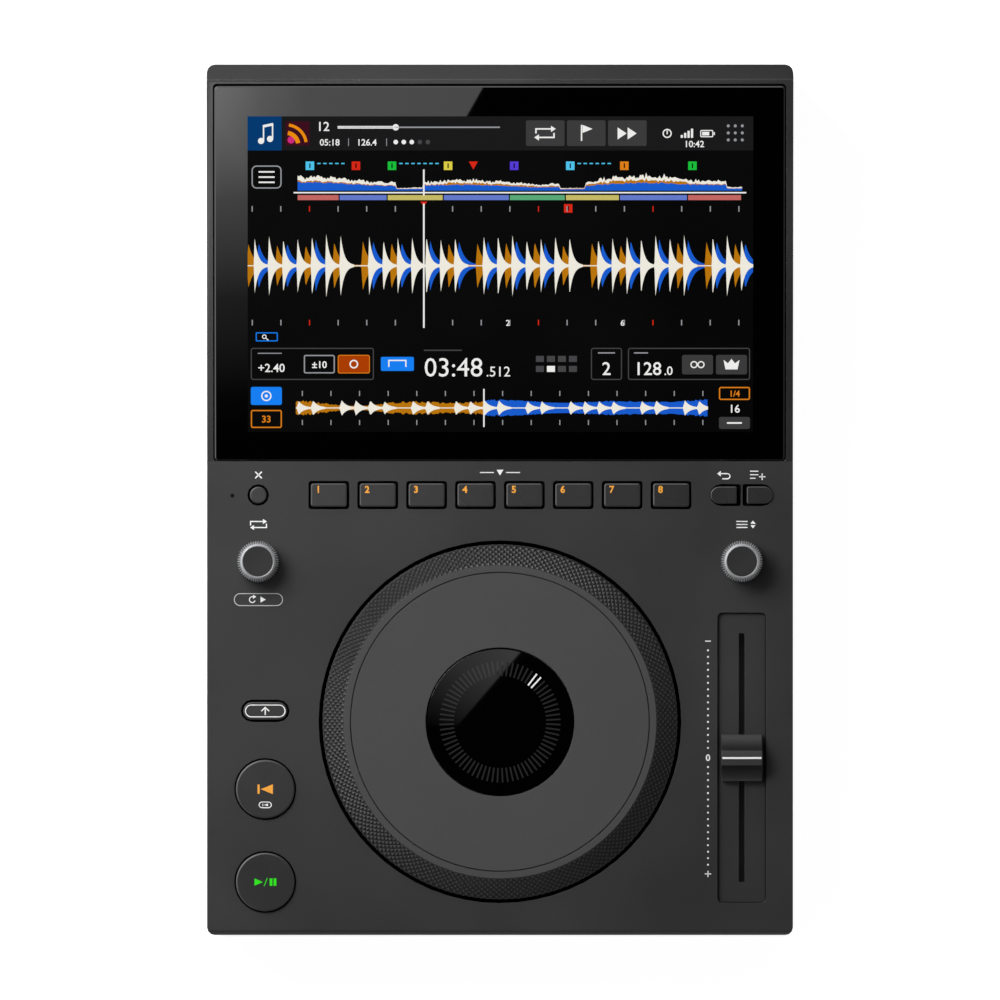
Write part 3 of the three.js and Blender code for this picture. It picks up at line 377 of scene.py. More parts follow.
def knurled(name, deep, high, specular):
    """Matt plastic with painted shade that makes its grooves darker than its points: deep and high are places
    and colours.
    """
    make = new_material(name)
    fine = make.noise(3000.0, 2.0, 0.6)
    base = make.ramp(make.ridges(), deep, high)
    return make.surface(base, make.spread(make.noise(18.0), 0.4, 0.46), make.bump(fine, 0.004), specular)


def machined(name, colour, roughness, scale=260.0, metallic=1.0, groove_shade=None):
    """Turned or rolled metal: fine marks one way, soft stains in its colour and, if asked, painted shade in
    its grooves.
    """
    make = new_material(name)
    stretched = make.node("Mapping", "Vector", {"Vector": make.place(), "Scale": (1.0, 0.04, 1.0)})
    lines = make.noise(scale * 8, 2.0, 0.6, stretched)
    base = make.ramp(make.noise(40.0, 4.0, 0.6), (0.2, scaled(colour, 0.85)), (0.8, scaled(colour, 1.1)))
    if groove_shade:
        dark = make.ramp(make.ridges(), (0.1, (groove_shade,) * 3), (0.5, (1.0, 1.0, 1.0)))
        base = make.mix(1.0, base, dark, "MULTIPLY")
    uneven = make.spread(lines, roughness - 0.06, roughness + 0.1)
    return make.surface(base, uneven, make.bump(lines, 0.004), metallic=metallic)


def lit(name, colour, strength=1.0, base=0.0, roughness=0.6, specular=0.0):
    """A mark that glows: light behind a diffuser with a faint unevenness."""
    make = new_material(name)
    glow = make.ramp(make.noise(1500.0, 1.0), (0.3, scaled(colour, 0.94)), (0.7, colour))
    make.end({"Emission Color": glow, "Emission Strength": strength})
    return make.surface((base, base, base, 1.0), roughness, specular=specular)


def printed(name, colour):
    """Ink printed on plastic: matt, with a thin uneven edge of pigment."""
    make = new_material(name)
    worn = make.noise(1800.0, 3.0, 0.6)
    base = make.ramp(worn, (0.25, scaled(colour, 0.86)), (0.6, colour))
    return make.surface(base, make.spread(worn, 0.5, 0.7), make.bump(worn, 0.005))


def circuit(name):
    """A green circuit board: solder mask over darker tracks, with rows of tinned pads."""
    make = new_material(name)
    cells = make.node(
        "TexVoronoi", "Distance", {"Vector": make.place(), "Scale": 260.0}, distance="CHEBYCHEV"
    )
    tracks = make.node("TexBrick", "Color", {
        "Vector": make.place(),
        "Scale": 120.0,
        "Color1": (*tint(22, 74, 42), 1),
        "Color2": (*tint(18, 60, 34), 1),
        "Mortar": (*tint(38, 104, 60), 1),
        "Mortar Size": 0.03,
    })
    pads = make.spread(cells, 1.0, 0.0, 0.12, 0.16)
    base = make.mix(pads, tracks, (*tint(190, 180, 150), 1))
    relief = make.bump(tracks.node.outputs["Fac"], 0.03)
    return make.surface(base, make.spread(pads, 0.55, 0.3, 0.0, 1.0), relief)


def rubbery(name, colour):
    make = new_material(name)
    dusty = make.noise(60.0, 4.0, 0.6)
    fine = make.noise(2600.0, 3.0, 0.7)
    base = make.ramp(dusty, (0.3, colour), (0.8, scaled(colour, 1.7)))
    return make.surface(base, make.spread(dusty, 0.8, 0.95), make.bump(fine, 0.03))


CASE = moulded("case_plastic", plain(39.5), 0.42, 0.4, 0.012, 0.05, 0.33)
RIM = moulded("frame_plastic", plain(36), 0.26, 0.4, 0.0015, 0.03, 0.78)
# near-black plastic: painted shade inside the openings, gaps and underside of the case, the keys and the jog
# wheel; also the deck lamp's own dark lens
BLACK_AND_SHADE = moulded("black_plastic_and_painted_shade", plain(9), 0.7, 0.4, 0.01, 0.1, 0.05)
KEYS = moulded("key_plastic", plain(38), 0.3, 0.35, 0.006, 0.05, 0.45)
CAP = moulded("knob_cap", plain(35), 0.5, 0.35, 0.01, 0.05, 0.2)
# a pale grey on the fader body: painted light that brightens the shaded slot above it
FADER_BODY_LIGHTENED = moulded("fader_body_painted_light", plain(140), 0.5, 0.5, 0.01, 0.06, 0.3)
JOG_FACE = moulded("jog_face", plain(72), 0.65, 0.3, 0.01, 0.03, 0.05)
# painted shade: the jog ring's grooves and the fader knob's hollows are darkened through the ridge attribute
KNURL = knurled("knurl_plastic", (0.2, plain(0)), (0.7, plain(39)), 0.27)
FADER = knurled("fader_plastic", (0.0, plain(5)), (1.0, plain(52)), 0.2)
BLACK = moulded("black_plastic", plain(26), 0.5, 0.4, 0.02, 0.12)
WHITE = moulded("white_plastic", tint(216, 215, 208), 0.45, 0.5, 0.01, 0.04)
COATED = moulded("coated_steel", plain(38), 0.48, 0.9, 0.05, 0.12)
GLASS = gloss("cover_glass", (0.0004, 0.0004, 0.0005), 0.008)
LENS = gloss("lens_glass", (0.0005, 0.0005, 0.0006), 0.012)
FILM = moulded("display_film", (0.0006,) * 3, 0.5, 0.2, 0.0, 0.3, 0.03)
PANEL = moulded("display_back", tint(14, 14, 16), 0.3, 0.6, 0.01, 0.1)
STEEL = machined("zinc_steel", tint(150, 154, 158), 0.38)
# the knobs' metal, with painted shade in the grooves between the teeth and on the turned ring
ALUMINIUM = machined("knob_aluminium", tint(166, 167, 169), 0.5, 500.0, 0.5, 0.04)
GOLD = machined("plated_brass", tint(212, 176, 92), 0.25)
BOARD = circuit("board_green")
RUBBER = rubbery("foot_rubber", plain(24))
INK = printed("white_ink", plain(238))
GREY_INK = printed("grey_ink", plain(178))
AMBER_INK = printed("amber_ink", tint(240, 160, 30))
GREEN_LIT = lit("green_light", tint(40, 236, 0), 0.9, 0.02)

ENCODERS = ("loop", "browse")
NODE_FINISH = [
    (PANEL, ["lcd_panel", "jog_display"]),
    (STEEL, ["screen_bracket", "jog_post", "tempo_slider"]),
    (BLACK, ["jog_hub", "jog_encoder_wheel", "jog_sensor"]),
    # the tray seen through the jog wheel's gap is black, painted shade
    (BLACK_AND_SHADE, ["jog_tray"]),
    (WHITE, ["jog_bush"]),
    (BOARD, ["panel_board", "main_board", "power_supply"]),
    (FADER_BODY_LIGHTENED, ["tempo_fader_body"]),
    (STEEL, [side + "_encoder_" + part for side in ENCODERS for part in ("body", "shaft")]),
    (WHITE, [side + "_encoder_plunger" for side in ENCODERS]),
]
for material, nodes in NODE_FINISH:
    for node in nodes:
        materials = frame["nodes"][node].data.materials
        materials.clear()
        materials.append(material)


# Casing

UPRIGHT = SLOPE.inverted()
POCKET_SIDE = 0.35
POCKET_REAR = 0.75
REAR_EDGE = 1.2
GLASS_SHIFT = 0.15
# limits that pick parts of the top case: its outer edges, the screen's pocket and the cavity inside
REAR_BAND, EDGE_BAND = 6.8, 16
POCKET_HALF, POCKET_LENGTH, POCKET_DEEP = 123.35, 163.6, 2.2
POCKET_WALL, POCKET_END = 121.5, 161.5
REAR_LINE, REAR_TOP = 181.3, 99.2
CAVITY_HALF, CAVITY_FRONT, CAVITY_REAR = 124.5, -184, 178.4


def outer_edge(p):
    """True at the upper edges of the outer walls beside and behind the screen."""
    at_side = abs(p.x) > HALF_WIDTH - 0.01 and p.y > SCREEN_FRONT
    at_end = p.y > HALF_DEPTH - REAR_BAND
    return (at_side or at_end) and p.z > DECK - EDGE_BAND


def screen_frame(p):
    """The pocket's walls and the rear edge, brought in to the width of the gap in the photograph."""
    local = UPRIGHT @ p
    within = abs(local.x) < POCKET_HALF and -0.1 < local.y < POCKET_LENGTH
    if within and -POCKET_DEEP < local.z < 0.2:
        if abs(local.x) > POCKET_WALL:
            local.x -= math.copysign(POCKET_SIDE, local.x) + GLASS_SHIFT
        if local.y > POCKET_END:
            local.y -= POCKET_REAR
        return SLOPE @ local
    if p.y > REAR_LINE and p.z > REAR_TOP:
        return Vector((p.x, p.y - REAR_EDGE, p.z - REAR_EDGE * math.tan(TILT)))
    return p


def inner_wall(p):
    """True for faces under the deck and inside its openings, which are painted black as shade."""
    top = DECK + max(0.0, p.y - SCREEN_FRONT) * math.tan(TILT)
    inside = abs(p.x) < CAVITY_HALF and CAVITY_FRONT < p.y < CAVITY_REAR
    off = p.xy - RECESS
    recess = abs(off.x) < RECESS_HALF.x + 0.05 and abs(off.y) < RECESS_HALF.y + 0.05
    return inside and p.z < top - 0.3 and not (recess and p.z > DECK - RECESS_DEPTH - 0.2)


def sloped_frame(p):
    """True for the faces of the frame round the screen, which slope as the screen does."""
    local = UPRIGHT @ p
    return local.z > -0.3 and local.y > 0.2 and p.y < REAR_LINE + 0.2


def case_part(p):
    return 1 if inner_wall(p) else 2 if sloped_frame(p) else 0


def creased(piece, one, other):
    """Sharpens the nearly flat edges between two materials, so that each side is lit as its own plane."""
    build = bmesh.new()
    build.from_mesh(piece.data)
    for edge in build.edges:
        if {face.material_index for face in edge.link_faces} == {one, other}:
            if edge.calc_face_angle() < math.radians(10):
                edge.smooth = False
    build.to_mesh(piece.data)
    build.free()


finish = [CASE, BLACK_AND_SHADE, RIM]
case = dressed("top_case", finish, 0.14, 2, outer_edge, 0.55, screen_frame, case_part)
creased(case, 0, 2)
dressed("bottom_case", COATED, 0.3)
dressed("rear_panel", COATED, 0.25)
for k in range(1, 5):
    dressed(f"case_screw_{k}", STEEL, 0.25)


# Cover glass

GLASS_WIDTH = 244.7
GLASS_DEPTH = 161.4
GLASS_CORNER = 1.5
GLASS_MIDDLE = 81.0


def glass_outline(inset):
    return rounded(GLASS_WIDTH - 2 * inset, GLASS_DEPTH - 2 * inset, GLASS_CORNER - inset)


levels = [(glass_outline(inset), z) for inset, z in ((0, -1.8), (0, -0.3), (0.4, -0.04), (0.5, 0.0))]
glass = lofted(levels, (-GLASS_SHIFT, GLASS_MIDDLE))
new_piece("cover_glass", glass, GLASS, "case", ["screen_glass"], 20.0, SLOPE)


# Jog wheel

KNURLS = 180
KNURL_ROWS = 9
KNURL_DEPTH = 0.38
LAND_RADIUS = 67.2
CONE_DROP = 4.4
CONE_WIDTH = JOG_RADIUS - LAND_RADIUS
RING_GAP = 0.25


def jog_ring_mesh():
    """The ring: a flat land inside, a cone of pyramids that meet in crossed grooves, and a plain skirt, with
    painted shade in the grooves through each point's ridge share.
    """
    sides = 2 * KNURLS
    shares = [k / KNURL_ROWS for k in range(KNURL_ROWS + 1)]
    rows = [
        (None, PLATE_RADIUS + 0.3, 2.5),
        (None, PLATE_RADIUS + 0.3, 0.25),
        (None, PLATE_RADIUS + 0.5, 0.0),
        (None, LAND_RADIUS - 0.35, 0.0),
        *[(k, LAND_RADIUS + CONE_WIDTH * share, CONE_DROP * share) for k, share in enumerate(shares)],
        (None, JOG_RADIUS, CONE_DROP + 0.3),
        (None, JOG_RADIUS, 8.2),
        (None, JOG_RADIUS - 2.5, 8.2),
        (None, JOG_RADIUS - 2.5, 6.9),
        (None, LAND_RADIUS, 4.8),
        (None, PLATE_RADIUS - 6, 4.8),
        (None, PLATE_RADIUS - 6, 2.8),
        (None, PLATE_RADIUS + 0.3, 2.8),
    ]
    slope = math.atan2(CONE_DROP, CONE_WIDTH)
    points = []
    faces = []
    ridge = []
    for kind, radius, drop in rows:
        deep = 0.0 if kind is None else 1.0 if 0 < kind < KNURL_ROWS else 0.6
        for k, (x, y) in enumerate(ring(1.0, sides)):
            share = deep if deep and (k + kind) % 2 == 0 else 0.0
            ridge.append(1.0 - share)
            sink = KNURL_DEPTH * share
            r = min(radius, JOG_RADIUS - RING_GAP) - sink * math.sin(slope)
            points.append((JOG.x + r * x, JOG.y + r * y, JOG_TOP - drop - sink * math.cos(slope)))
    for i, (kind, _, _) in enumerate(rows):
        j = (i + 1) % len(rows)
        for k in range(sides):
            after = (k + 1) % sides
            a, b, c, d = i * sides + k, i * sides + after, j * sides + after, j * sides + k
            if kind is None or rows[j][0] is None:
                faces.append((a, d, c, b))
            elif (k + kind) % 2 == 0:
                faces += [(a, d, c), (a, c, b)]
            else:
                faces += [(a, d, b), (b, d, c)]
    return points, faces, ridge


def ring_part(p):
    """Which finish a face of the ring has: 1 on the flat land, 2 under the cone, black as painted shade in
    the gap, and 0 on the cone.
    """
    land = (p - JOG).xy.length < LAND_RADIUS - 0.2 and p.z > JOG_TOP - 2
    return 1 if land else 2 if p.z < JOG_TOP - CONE_DROP - 0.2 else 0


jog_ring = jog_ring_mesh()
finish = [KNURL, JOG_FACE, BLACK_AND_SHADE]
new_piece(
    "jog_ring_knurled", jog_ring, finish, "jog_wheel", ["jog_ring"], 22.0, second=ring_part
)

inner = LENS_RADIUS + 0.5
profile = [
    (inner, -2.5),
    (PLATE_RADIUS, -2.5),
    (PLATE_RADIUS, -0.25),
    (PLATE_RADIUS - 0.1, -0.08),
    (PLATE_RADIUS - 0.25, 0),
    (inner + 0.35, 0),
    (inner + 0.1, -0.1),
    (inner, -0.35),
]
plate = lathe(profile, 192, JOG.xy, JOG_TOP)
new_piece("jog_plate_dressed", plate, JOG_FACE, "jog_wheel", ["jog_plate"], 25.0)

lens_low = node_box("jog_lens")[0].z - JOG_TOP
profile = [
    (0, -1.2),
    (LENS_RADIUS - 3.1, -1.2),
    (LENS_RADIUS - 3.1, lens_low),
    (LENS_RADIUS, lens_low),
    (LENS_RADIUS, -0.2),
    (LENS_RADIUS - 0.05, -0.05),
    (LENS_RADIUS - 0.2, 0),
    (0, 0),
]
new_piece("jog_lens_dressed", lathe(profile, 160, JOG.xy, JOG_TOP), LENS, "case", ["jog_lens"])


# Keys

KEY_GAP = 0.18
FLANGE = 1.65
STEM_RADIUS = 1.8
# depths under the deck
CAP_SHOWS = 0.4
CAP_FOOT = 3.4
FLANGE_TOP = 2.8
FLANGE_FOOT = 4.0
# sizes in the plan
PAD_WIDTH, PAD_DEPTH, PAD_CORNER = 15.8, 10.4, 1.3
SHIFT_WIDTH, SHIFT_DEPTH = 19.2, 7.9
PAIR_WIDTH, PAIR_DEPTH, PAIR_CORNER = 11.5, 7.7, 0.8
LEAST_CORNER = 0.15
DELETE_RADIUS = 3.8
PLAY_RADIUS = 12.75


def key_piece(name, outline, rounding, body, replaced):
    """A key: the cap with a rounded top edge, the flange under the deck and the stem, black below the deck as
    painted shade in the gap round the cap.
    """
    low, high = node_box(replaced)
    cap = [(outline(KEY_GAP), DECK - CAP_FOOT), (outline(KEY_GAP), DECK - CAP_SHOWS)]
    cap += chamfer(lambda inset: outline(KEY_GAP + inset), high.z, rounding)
    flange = [(outline(-FLANGE), DECK - FLANGE_FOOT), (outline(-FLANGE), DECK - FLANGE_TOP)]
    round_stem = ring(STEM_RADIUS, 24)
    stem = [(round_stem, low.z), (round_stem, DECK - CAP_FOOT)]
    points = []
    faces = []
    for levels in (cap, flange, stem):
        more, more_faces = lofted(levels, node_centre(replaced).xy)
        faces += [tuple(i + len(points) for i in face) for face in more_faces]
        points += more

    def hidden(p):
        return p.z < DECK - CAP_SHOWS

    new_piece(name, (points, faces), [KEYS, BLACK_AND_SHADE], body, [replaced], second=hidden)


def pad_shape(inset):
    return rounded(PAD_WIDTH - 2 * inset, PAD_DEPTH - 2 * inset, max(PAD_CORNER - inset, LEAST_CORNER))


def disc_shape(radius, sides):
    return lambda inset: ring(radius - inset, sides)


def shift_shape(inset):
    return rounded(SHIFT_WIDTH - 2 * inset, SHIFT_DEPTH - 2 * inset, SHIFT_DEPTH / 2 - inset, 16)


def pair_shape(side):
    """One of the two keys that share a pill: a round end to its side and a straight end at the bridge."""

    def bend(x, y, radius, start, turn, steps):
        turns = [start + turn * k / steps for k in range(steps + 1)]
        return [(x + radius * math.cos(a), y + radius * math.sin(a)) for a in turns]

    def outline(inset):
        round_end = PAIR_DEPTH / 2 - inset
        corner = max(PAIR_CORNER - inset, LEAST_CORNER)
        across, up = inset + corner - PAIR_WIDTH / 2, round_end - corner
        points = bend(PAIR_WIDTH / 2 - PAIR_DEPTH / 2, 0, round_end, -math.pi / 2, math.pi, 24)
        points += bend(across, up, corner, math.pi / 2, math.pi / 2, 4)
        points += bend(across, -up, corner, math.pi, math.pi / 2, 4)
        return points if side > 0 else [(-x, y) for x, y in reversed(points)]

    return outline


for k in range(1, 9):
    key_piece(f"pad_cap_{k}", pad_shape, 0.55, f"pad_{k}", f"hot_cue_button_{k}")
KEY_SHAPES = {
    "delete": (disc_shape(DELETE_RADIUS, 48), 0.6),
    "back": (pair_shape(-1), 0.4),
    "tag": (pair_shape(1), 0.4),
    "shift": (shift_shape, 0.4),
    "cue": (disc_shape(PLAY_RADIUS, 96), 0.7),
    "play": (disc_shape(PLAY_RADIUS, 96), 0.7),
}
for name, (outline, rounding) in KEY_SHAPES.items():
    key_piece(name + "_cap", outline, rounding, name + "_key", name + "_button")


# Knobs

SERRATIONS = 52
TOOTH_DEPTH = 0.9
# the ridge value of every row without teeth, the turned ring among them: painted shade that darkens them a
# little
TURNED_SHADE = 0.42
KNOB_ROWS = [
    (3.3, 0, 0), (9.0, 0, 1), (9.1, 0.25, 1), (8.95, 10.2, 1), (8.85, 10.9, 1), (8.0, 11.75, 0.85),
    (7.6, 12.15, 0), (6.95, 12.85, 0), (6.75, 13.0, 0), (6.55, 12.95, 0), (6.4, 12.6, 0), (6.38, 11.9, 0),
    (3.3, 11.9, 0),
]
CAP_ROWS = [(0, -0.9), (6.3, -0.9), (6.3, -0.45), (6.15, -0.35), (5.4, -0.36), (3.0, -0.46), (0, -0.5)]


def knob_mesh(centre, low):
    """A knob: a serrated tapering skirt, a bright chamfer and a recess for the cap, hollow below, with
    painted shade in the teeth's grooves and on the turned ring.

    Its rows are a radius, a height and how deep the teeth are cut there.
    """
    sides = SERRATIONS * 4
    round_points, faces = lathe([row[:2] for row in KNOB_ROWS], sides, base=low)
    points = []
    ridge = []
    for i, (x, y, z) in enumerate(round_points):
        radius, _, cut = KNOB_ROWS[i // sides]
        tooth = cut * (0.0, 0.5, 1.0, 0.5)[i % 4]
        share = 1 - TOOTH_DEPTH * tooth / radius
        points.append((centre.x + share * x, centre.y + share * y, z))
        ridge.append(1.0 - tooth if cut else TURNED_SHADE)
    return points, faces, ridge


for side in ENCODERS:
    knob = side + "_knob"
    centre = node_centre(knob).xy
    turned = knob_mesh(centre, node_box(knob)[0].z)
    new_piece(knob + "_turned", turned, ALUMINIUM, side + "_dial", [knob])
    dish = lathe(CAP_ROWS, 96, centre, node_box(knob + "_cap")[1].z)
    new_piece(side + "_cap_dished", dish, CAP, side + "_dial", [knob + "_cap"])


# Tempo fader knob

def fader_knob_mesh(centre, low):
    """The knob: two hollow slopes that rise to a gabled ridge, with painted shade that darkens them towards
    the ridge's foot and along the base.
    """
    half_width, half_length, half_ridge, end, height = 8.8, 9.95, 3.2, 3.0, 10.0
    steps = 16
    step = (half_length - half_ridge) / steps
    pad = [(half_length, end)]
    for k in range(steps):
        rise = 12 + 45 * math.sqrt((k + 0.5) / steps)
        y, z = pad[-1]
        pad.append((y - step, z + step * math.tan(math.radians(rise))))
    # painted shade: full colour at the lip, darkest at the ridge's foot
    painted_shading = [1.0 - (k / steps) ** 0.8 for k in range(steps + 1)]
    pad[-1] = (half_ridge + 0.05, height - 0.85)
    pad += [(half_ridge - 0.1, height - 0.6), (half_ridge - 0.4, height - 0.46)]
    painted_shading += [1.0, 1.0]
    outline = [(half_length, 0.0), *pad, (0.0, height)]
    outline += [(-y, z) for y, z in reversed(outline[:-1])]
    layers = [(half_width, 0.35), (half_width - 0.1, 0.12), (half_width - 0.35, 0.0)]
    levels = []
    for x, shrink in [(-x, shrink) for x, shrink in layers] + layers[::-1]:
        inward = [(y - math.copysign(min(shrink, abs(y)), y), z - shrink * (z > 0.5)) for y, z in outline]
        levels.append((inward, x))
    points, faces = lofted(levels)
    points = [(centre.x + x, centre.y + y, low + z) for y, z, x in points]
    return points, faces, [0.0, *painted_shading, 1.0, *painted_shading[::-1], 0.0] * len(levels)


knob = fader_knob_mesh(node_centre("tempo_knob").xy, node_box("tempo_knob")[0].z)
new_piece("tempo_knob_shaped", knob, FADER, "tempo_fader", ["tempo_knob"], 18.0)


# Feet and rear

FOOT = [
    (0, 0.6), (7.0, 0.6), (7.6, 0), (11.2, 0), (11.9, 0.25), (12.8, 1.4), (13.0, 2.2), (13.0, 7.6),
    (12.7, 8.0), (3.0, 8.0),
]

for place in ("front_left", "front_right", "rear_left", "rear_right"):
    node = "foot_" + place
    top = node_box(node)[1].z
    foot = lathe([*FOOT, (3.0, top), (0, top)], 64, node_centre(node).xy)
    new_piece("rubber_" + node, foot, RUBBER, "case", [node], 35.0)

dressed("ac_inlet", BLACK, 0.25)
dressed("power_switch_body", BLACK, 0.25)
dressed("power_rocker", KEYS, 0.4, 3)
dressed("lan_jack", STEEL, 0.2)
dressed("usb_jack", STEEL, 0.12)
dressed("audio_jacks", GOLD, 0.25)


# Flat marks

PRINT_LOW = 0.005
PRINT_HIGH = 0.03
FIGURE_HEIGHT = 0.729


class Marks:
    """Thin closed shapes lying on a surface, gathered into one piece, each placed from the present middle."""

    def __init__(self, low, high, middle=(0.0, 0.0)):
        self.low, self.high, self.middle = low, high, middle
        self.points = []
        self.faces = []

    def add(self, points, faces):
        first = len(self.points)
        self.points += [(x + self.middle[0], y + self.middle[1], z) for x, y, z in points]
        self.faces += [tuple(k + first for k in face) for face in faces]

    def area(self, outline):
        turn = sum(a[0] * b[1] - b[0] * a[1] for a, b in zip(outline, outline[1:] + outline[:1]))
        corners = outline if turn > 0 else outline[::-1]
        self.add(*lofted([(corners, self.low), (corners, self.high)]))

    def band(self, outer, inner):
        """A closed ring between two outlines with the same number of points, both anticlockwise."""
        sides = [(outer, self.low), (outer, self.high), (inner, self.high), (inner, self.low)]
        self.add(*lofted(sides, hollow=True))

    def box(self, x0, y0, x1, y1, corner=0.0):
        if corner:
            self.area(shifted(rounded(x1 - x0, y1 - y0, corner, 4), (x0 + x1) / 2, (y0 + y1) / 2))
        else:
            self.area([(x0, y0), (x1, y0), (x1, y1), (x0, y1)])

    def frame(self, x0, y0, x1, y1, width, corner=0.0, steps=6):
        """The outline of a box, width wide, drawn inwards."""
        loops = []
        for inset in (0.0, width):
            shape = rounded(x1 - x0 - 2 * inset, y1 - y0 - 2 * inset, max(corner - inset, 0.02), steps)
            loops.append(shifted(shape, (x0 + x1) / 2, (y0 + y1) / 2))
        self.band(*loops)

    def dot(self, x, y, radius, sides=20):
        self.area(shifted(ring(radius, sides), x, y))

    def circle(self, x, y, radius, width, sides=32):
        self.band(shifted(ring(radius, sides), x, y), shifted(ring(radius - width, sides), x, y))

    def line(self, route, width):
        """An open stroke along a route, with mitred corners and square ends."""
        points = [Vector(p) for p in route]
        steps = [(b - a).normalized() for a, b in zip(points, points[1:])]
        left = []
        right = []
        for point, before, after in zip(points, steps[:1] + steps, steps + steps[-1:]):
            along = (before + after).normalized()
            side = Vector((-along.y, along.x))
            reach = width / 2 / max(0.35, side.dot(Vector((-before.y, before.x))))
            left.append(tuple(point + side * reach))
            right.append(tuple(point - side * reach))
        self.area(right + left[::-1])

    def arc(self, x, y, radius, start, end, width):
        """A stroke along an arc, from start to end in degrees."""
        turns = [math.radians(start + (end - start) * k / 20) for k in range(21)]
        self.line([(x + radius * math.cos(a), y + radius * math.sin(a)) for a in turns], width)

    def numerals(self, text, x, y, size, align="LEFT", bold=0.0):
        """Figures in Blender's own face: size is the height of a figure, and y its foot."""
        curve = bpy.data.curves.new("numerals", "FONT")
        curve.body = text
        curve.size = size * MM / FIGURE_HEIGHT
        curve.align_x = align
        curve.offset = bold * MM
        curve.resolution_u = 3
        curve.extrude = (self.high - self.low) * MM / 2
        holder = linked("numerals", curve)
        mesh = bpy.data.meshes.new_from_object(holder)
        build = bmesh.new()
        build.from_mesh(mesh)
        bmesh.ops.remove_doubles(build, verts=build.verts, dist=0.0001 * MM)
        build.verts.index_update()
        place = Vector((x, y, (self.low + self.high) / 2))
        points = [vertex.co / MM + place for vertex in build.verts]
        self.add(points, [[vertex.index for vertex in face.verts] for face in build.faces])
        build.free()
        bpy.data.objects.remove(holder)
        bpy.data.meshes.remove(mesh)
        bpy.data.curves.remove(curve)

    def piece(self, name, material, body, slot, matrix=None):
        new_piece(name, (self.points, self.faces), material, body, (), 0, matrix)


def printed_on(z, middle=(0.0, 0.0)):
    return Marks(z + PRINT_LOW, z + PRINT_HIGH, middle)


# Print on the deck and the keys

PIXEL = 0.4296


def plan(px, py):
    """The place in the plan under a point of the photograph."""
    return (px - 500) * PIXEL, (500 - py) * PIXEL


deck = printed_on(DECK)
# a cross for delete
deck.middle = plan(258.5, 475)
arm = math.sqrt(2)
for dx in (arm, -arm):
    deck.line([(-dx, -arm), (dx, arm)], 0.55)
# a pointer with a rule on both sides for the pads
deck.middle = plan(500, 472.5)
deck.area([(-1.5, 1.2), (1.5, 1.2), (0, -1.3)])
for left in (-8.6, 2.6):
    deck.box(left, -0.2, left + 6, 0.2)
# an arrow that turns back
deck.middle = plan(725, 475.5)
deck.line([(-2.0, 0.8), (1.0, 0.8)], 0.5)
deck.arc(1.0, -0.3, 1.1, 90, -90, 0.5)
deck.line([(1.0, -1.4), (-1.2, -1.4)], 0.5)
deck.area([(-1.8, 2.0), (-1.8, -0.4), (-3.4, 0.8)])
# a list with a plus for the tag key
deck.middle = plan(757.5, 475)
for k, end in enumerate((0.4, 0.4, -0.8)):
    deck.box(-3.2, 1.4 - 1.5 * k, end, 1.85 - 1.5 * k)
deck.box(0.6, -1.0, 3.4, -0.5)
deck.box(1.75, -2.15, 2.25, 0.65)
# two arrows in a loop
deck.middle = plan(258.5, 524.5)
for way in (1, -1):
    deck.line([(-3.4 * way, -0.4 * way), (-3.4 * way, 1.3 * way), (2.2 * way, 1.3 * way)], 0.5)
    deck.area([(1.9 * way, 2.4 * way), (1.9 * way, 0.2 * way), (3.6 * way, 1.3 * way)])
# a list beside two pointers
deck.middle = plan(742, 524.5)
for k in range(3):
    deck.box(-2.4, 1.1 - 1.3 * k, 2.4, 1.55 - 1.3 * k)
for way in (1, -1):
    deck.area([(3.6, 0.3 * way), (5.8, 0.3 * way), (4.7, 1.7 * way)])
# a framed loop under the left knob
label = printed_on(DECK, plan(258.4, 599.6))
label.frame(-10.55, -2.75, 10.55, 2.75, 0.36, 2.75, 10)
label.piece("loop_label_frame", GREY_INK, "case", "case_plastic")
deck.middle = label.middle
deck.arc(-2.6, 0, 1.25, 75, 340, 0.42)
deck.area([(-2.3, 2.1), (-2.3, 0.3), (-0.9, 1.2)])
deck.area([(0.9, 1.3), (0.9, -1.3), (3.2, 0)])
# the tempo scale
deck.middle = (89.35, plan(0, 757.5)[1])
deck.box(-1.25, 49.78, 1.25, 50.22)
deck.box(-1.35, -50.22, 1.35, -49.78)
deck.box(-0.22, -51.35, 0.22, -48.65)
deck.numerals("0", 0, -1.45, 2.9, "CENTER", 0.09)
for way in (-1, 1):
    for k in range(16):
        deck.dot(0, way * (4.1 + 2.797 * k), 0.42, 12)
deck.piece("deck_print", INK, "case", "case_plastic")


def on_key(node):
    """Marks on the top of a key, placed from its middle."""
    return printed_on(node_box(node)[1].z, node_centre(node).xy)


for k in range(1, 9):
    cap = on_key(f"hot_cue_button_{k}")
    cap.numerals(str(k), -4.55, 1.05, 3.0, "CENTER", 0.12)
    cap.piece(f"pad_figure_{k}", AMBER_INK, f"pad_{k}", "key_plastic")

cap = on_key("shift_button")
cap.frame(-8.7, -2.75, 8.7, 2.75, 0.42, 2.75, 10)
cap.line([(-1.7, -0.1), (0, 1.5), (1.7, -0.1)], 0.5)
cap.box(-0.27, -1.7, 0.27, 1.0)
cap.piece("shift_print", INK, "shift_key", "key_plastic")

cap = on_key("cue_button")
cap.box(-3.3, -2.0, -2.4, 2.0)
cap.area([(3.3, -2.1), (3.3, 2.1), (-2.0, 0)])
cap.piece("cue_figure", AMBER_INK, "cue_key", "key_plastic")
cap = on_key("cue_button")
cap.frame(-2.8, -8.15, 2.8, -5.35, 0.36, 1.4, 8)
cap.box(-1.2, -7.3, -0.85, -6.2)
cap.area([(1.2, -7.35), (1.2, -6.15), (-0.6, -6.75)])
cap.piece("cue_print", INK, "cue_key", "key_plastic")

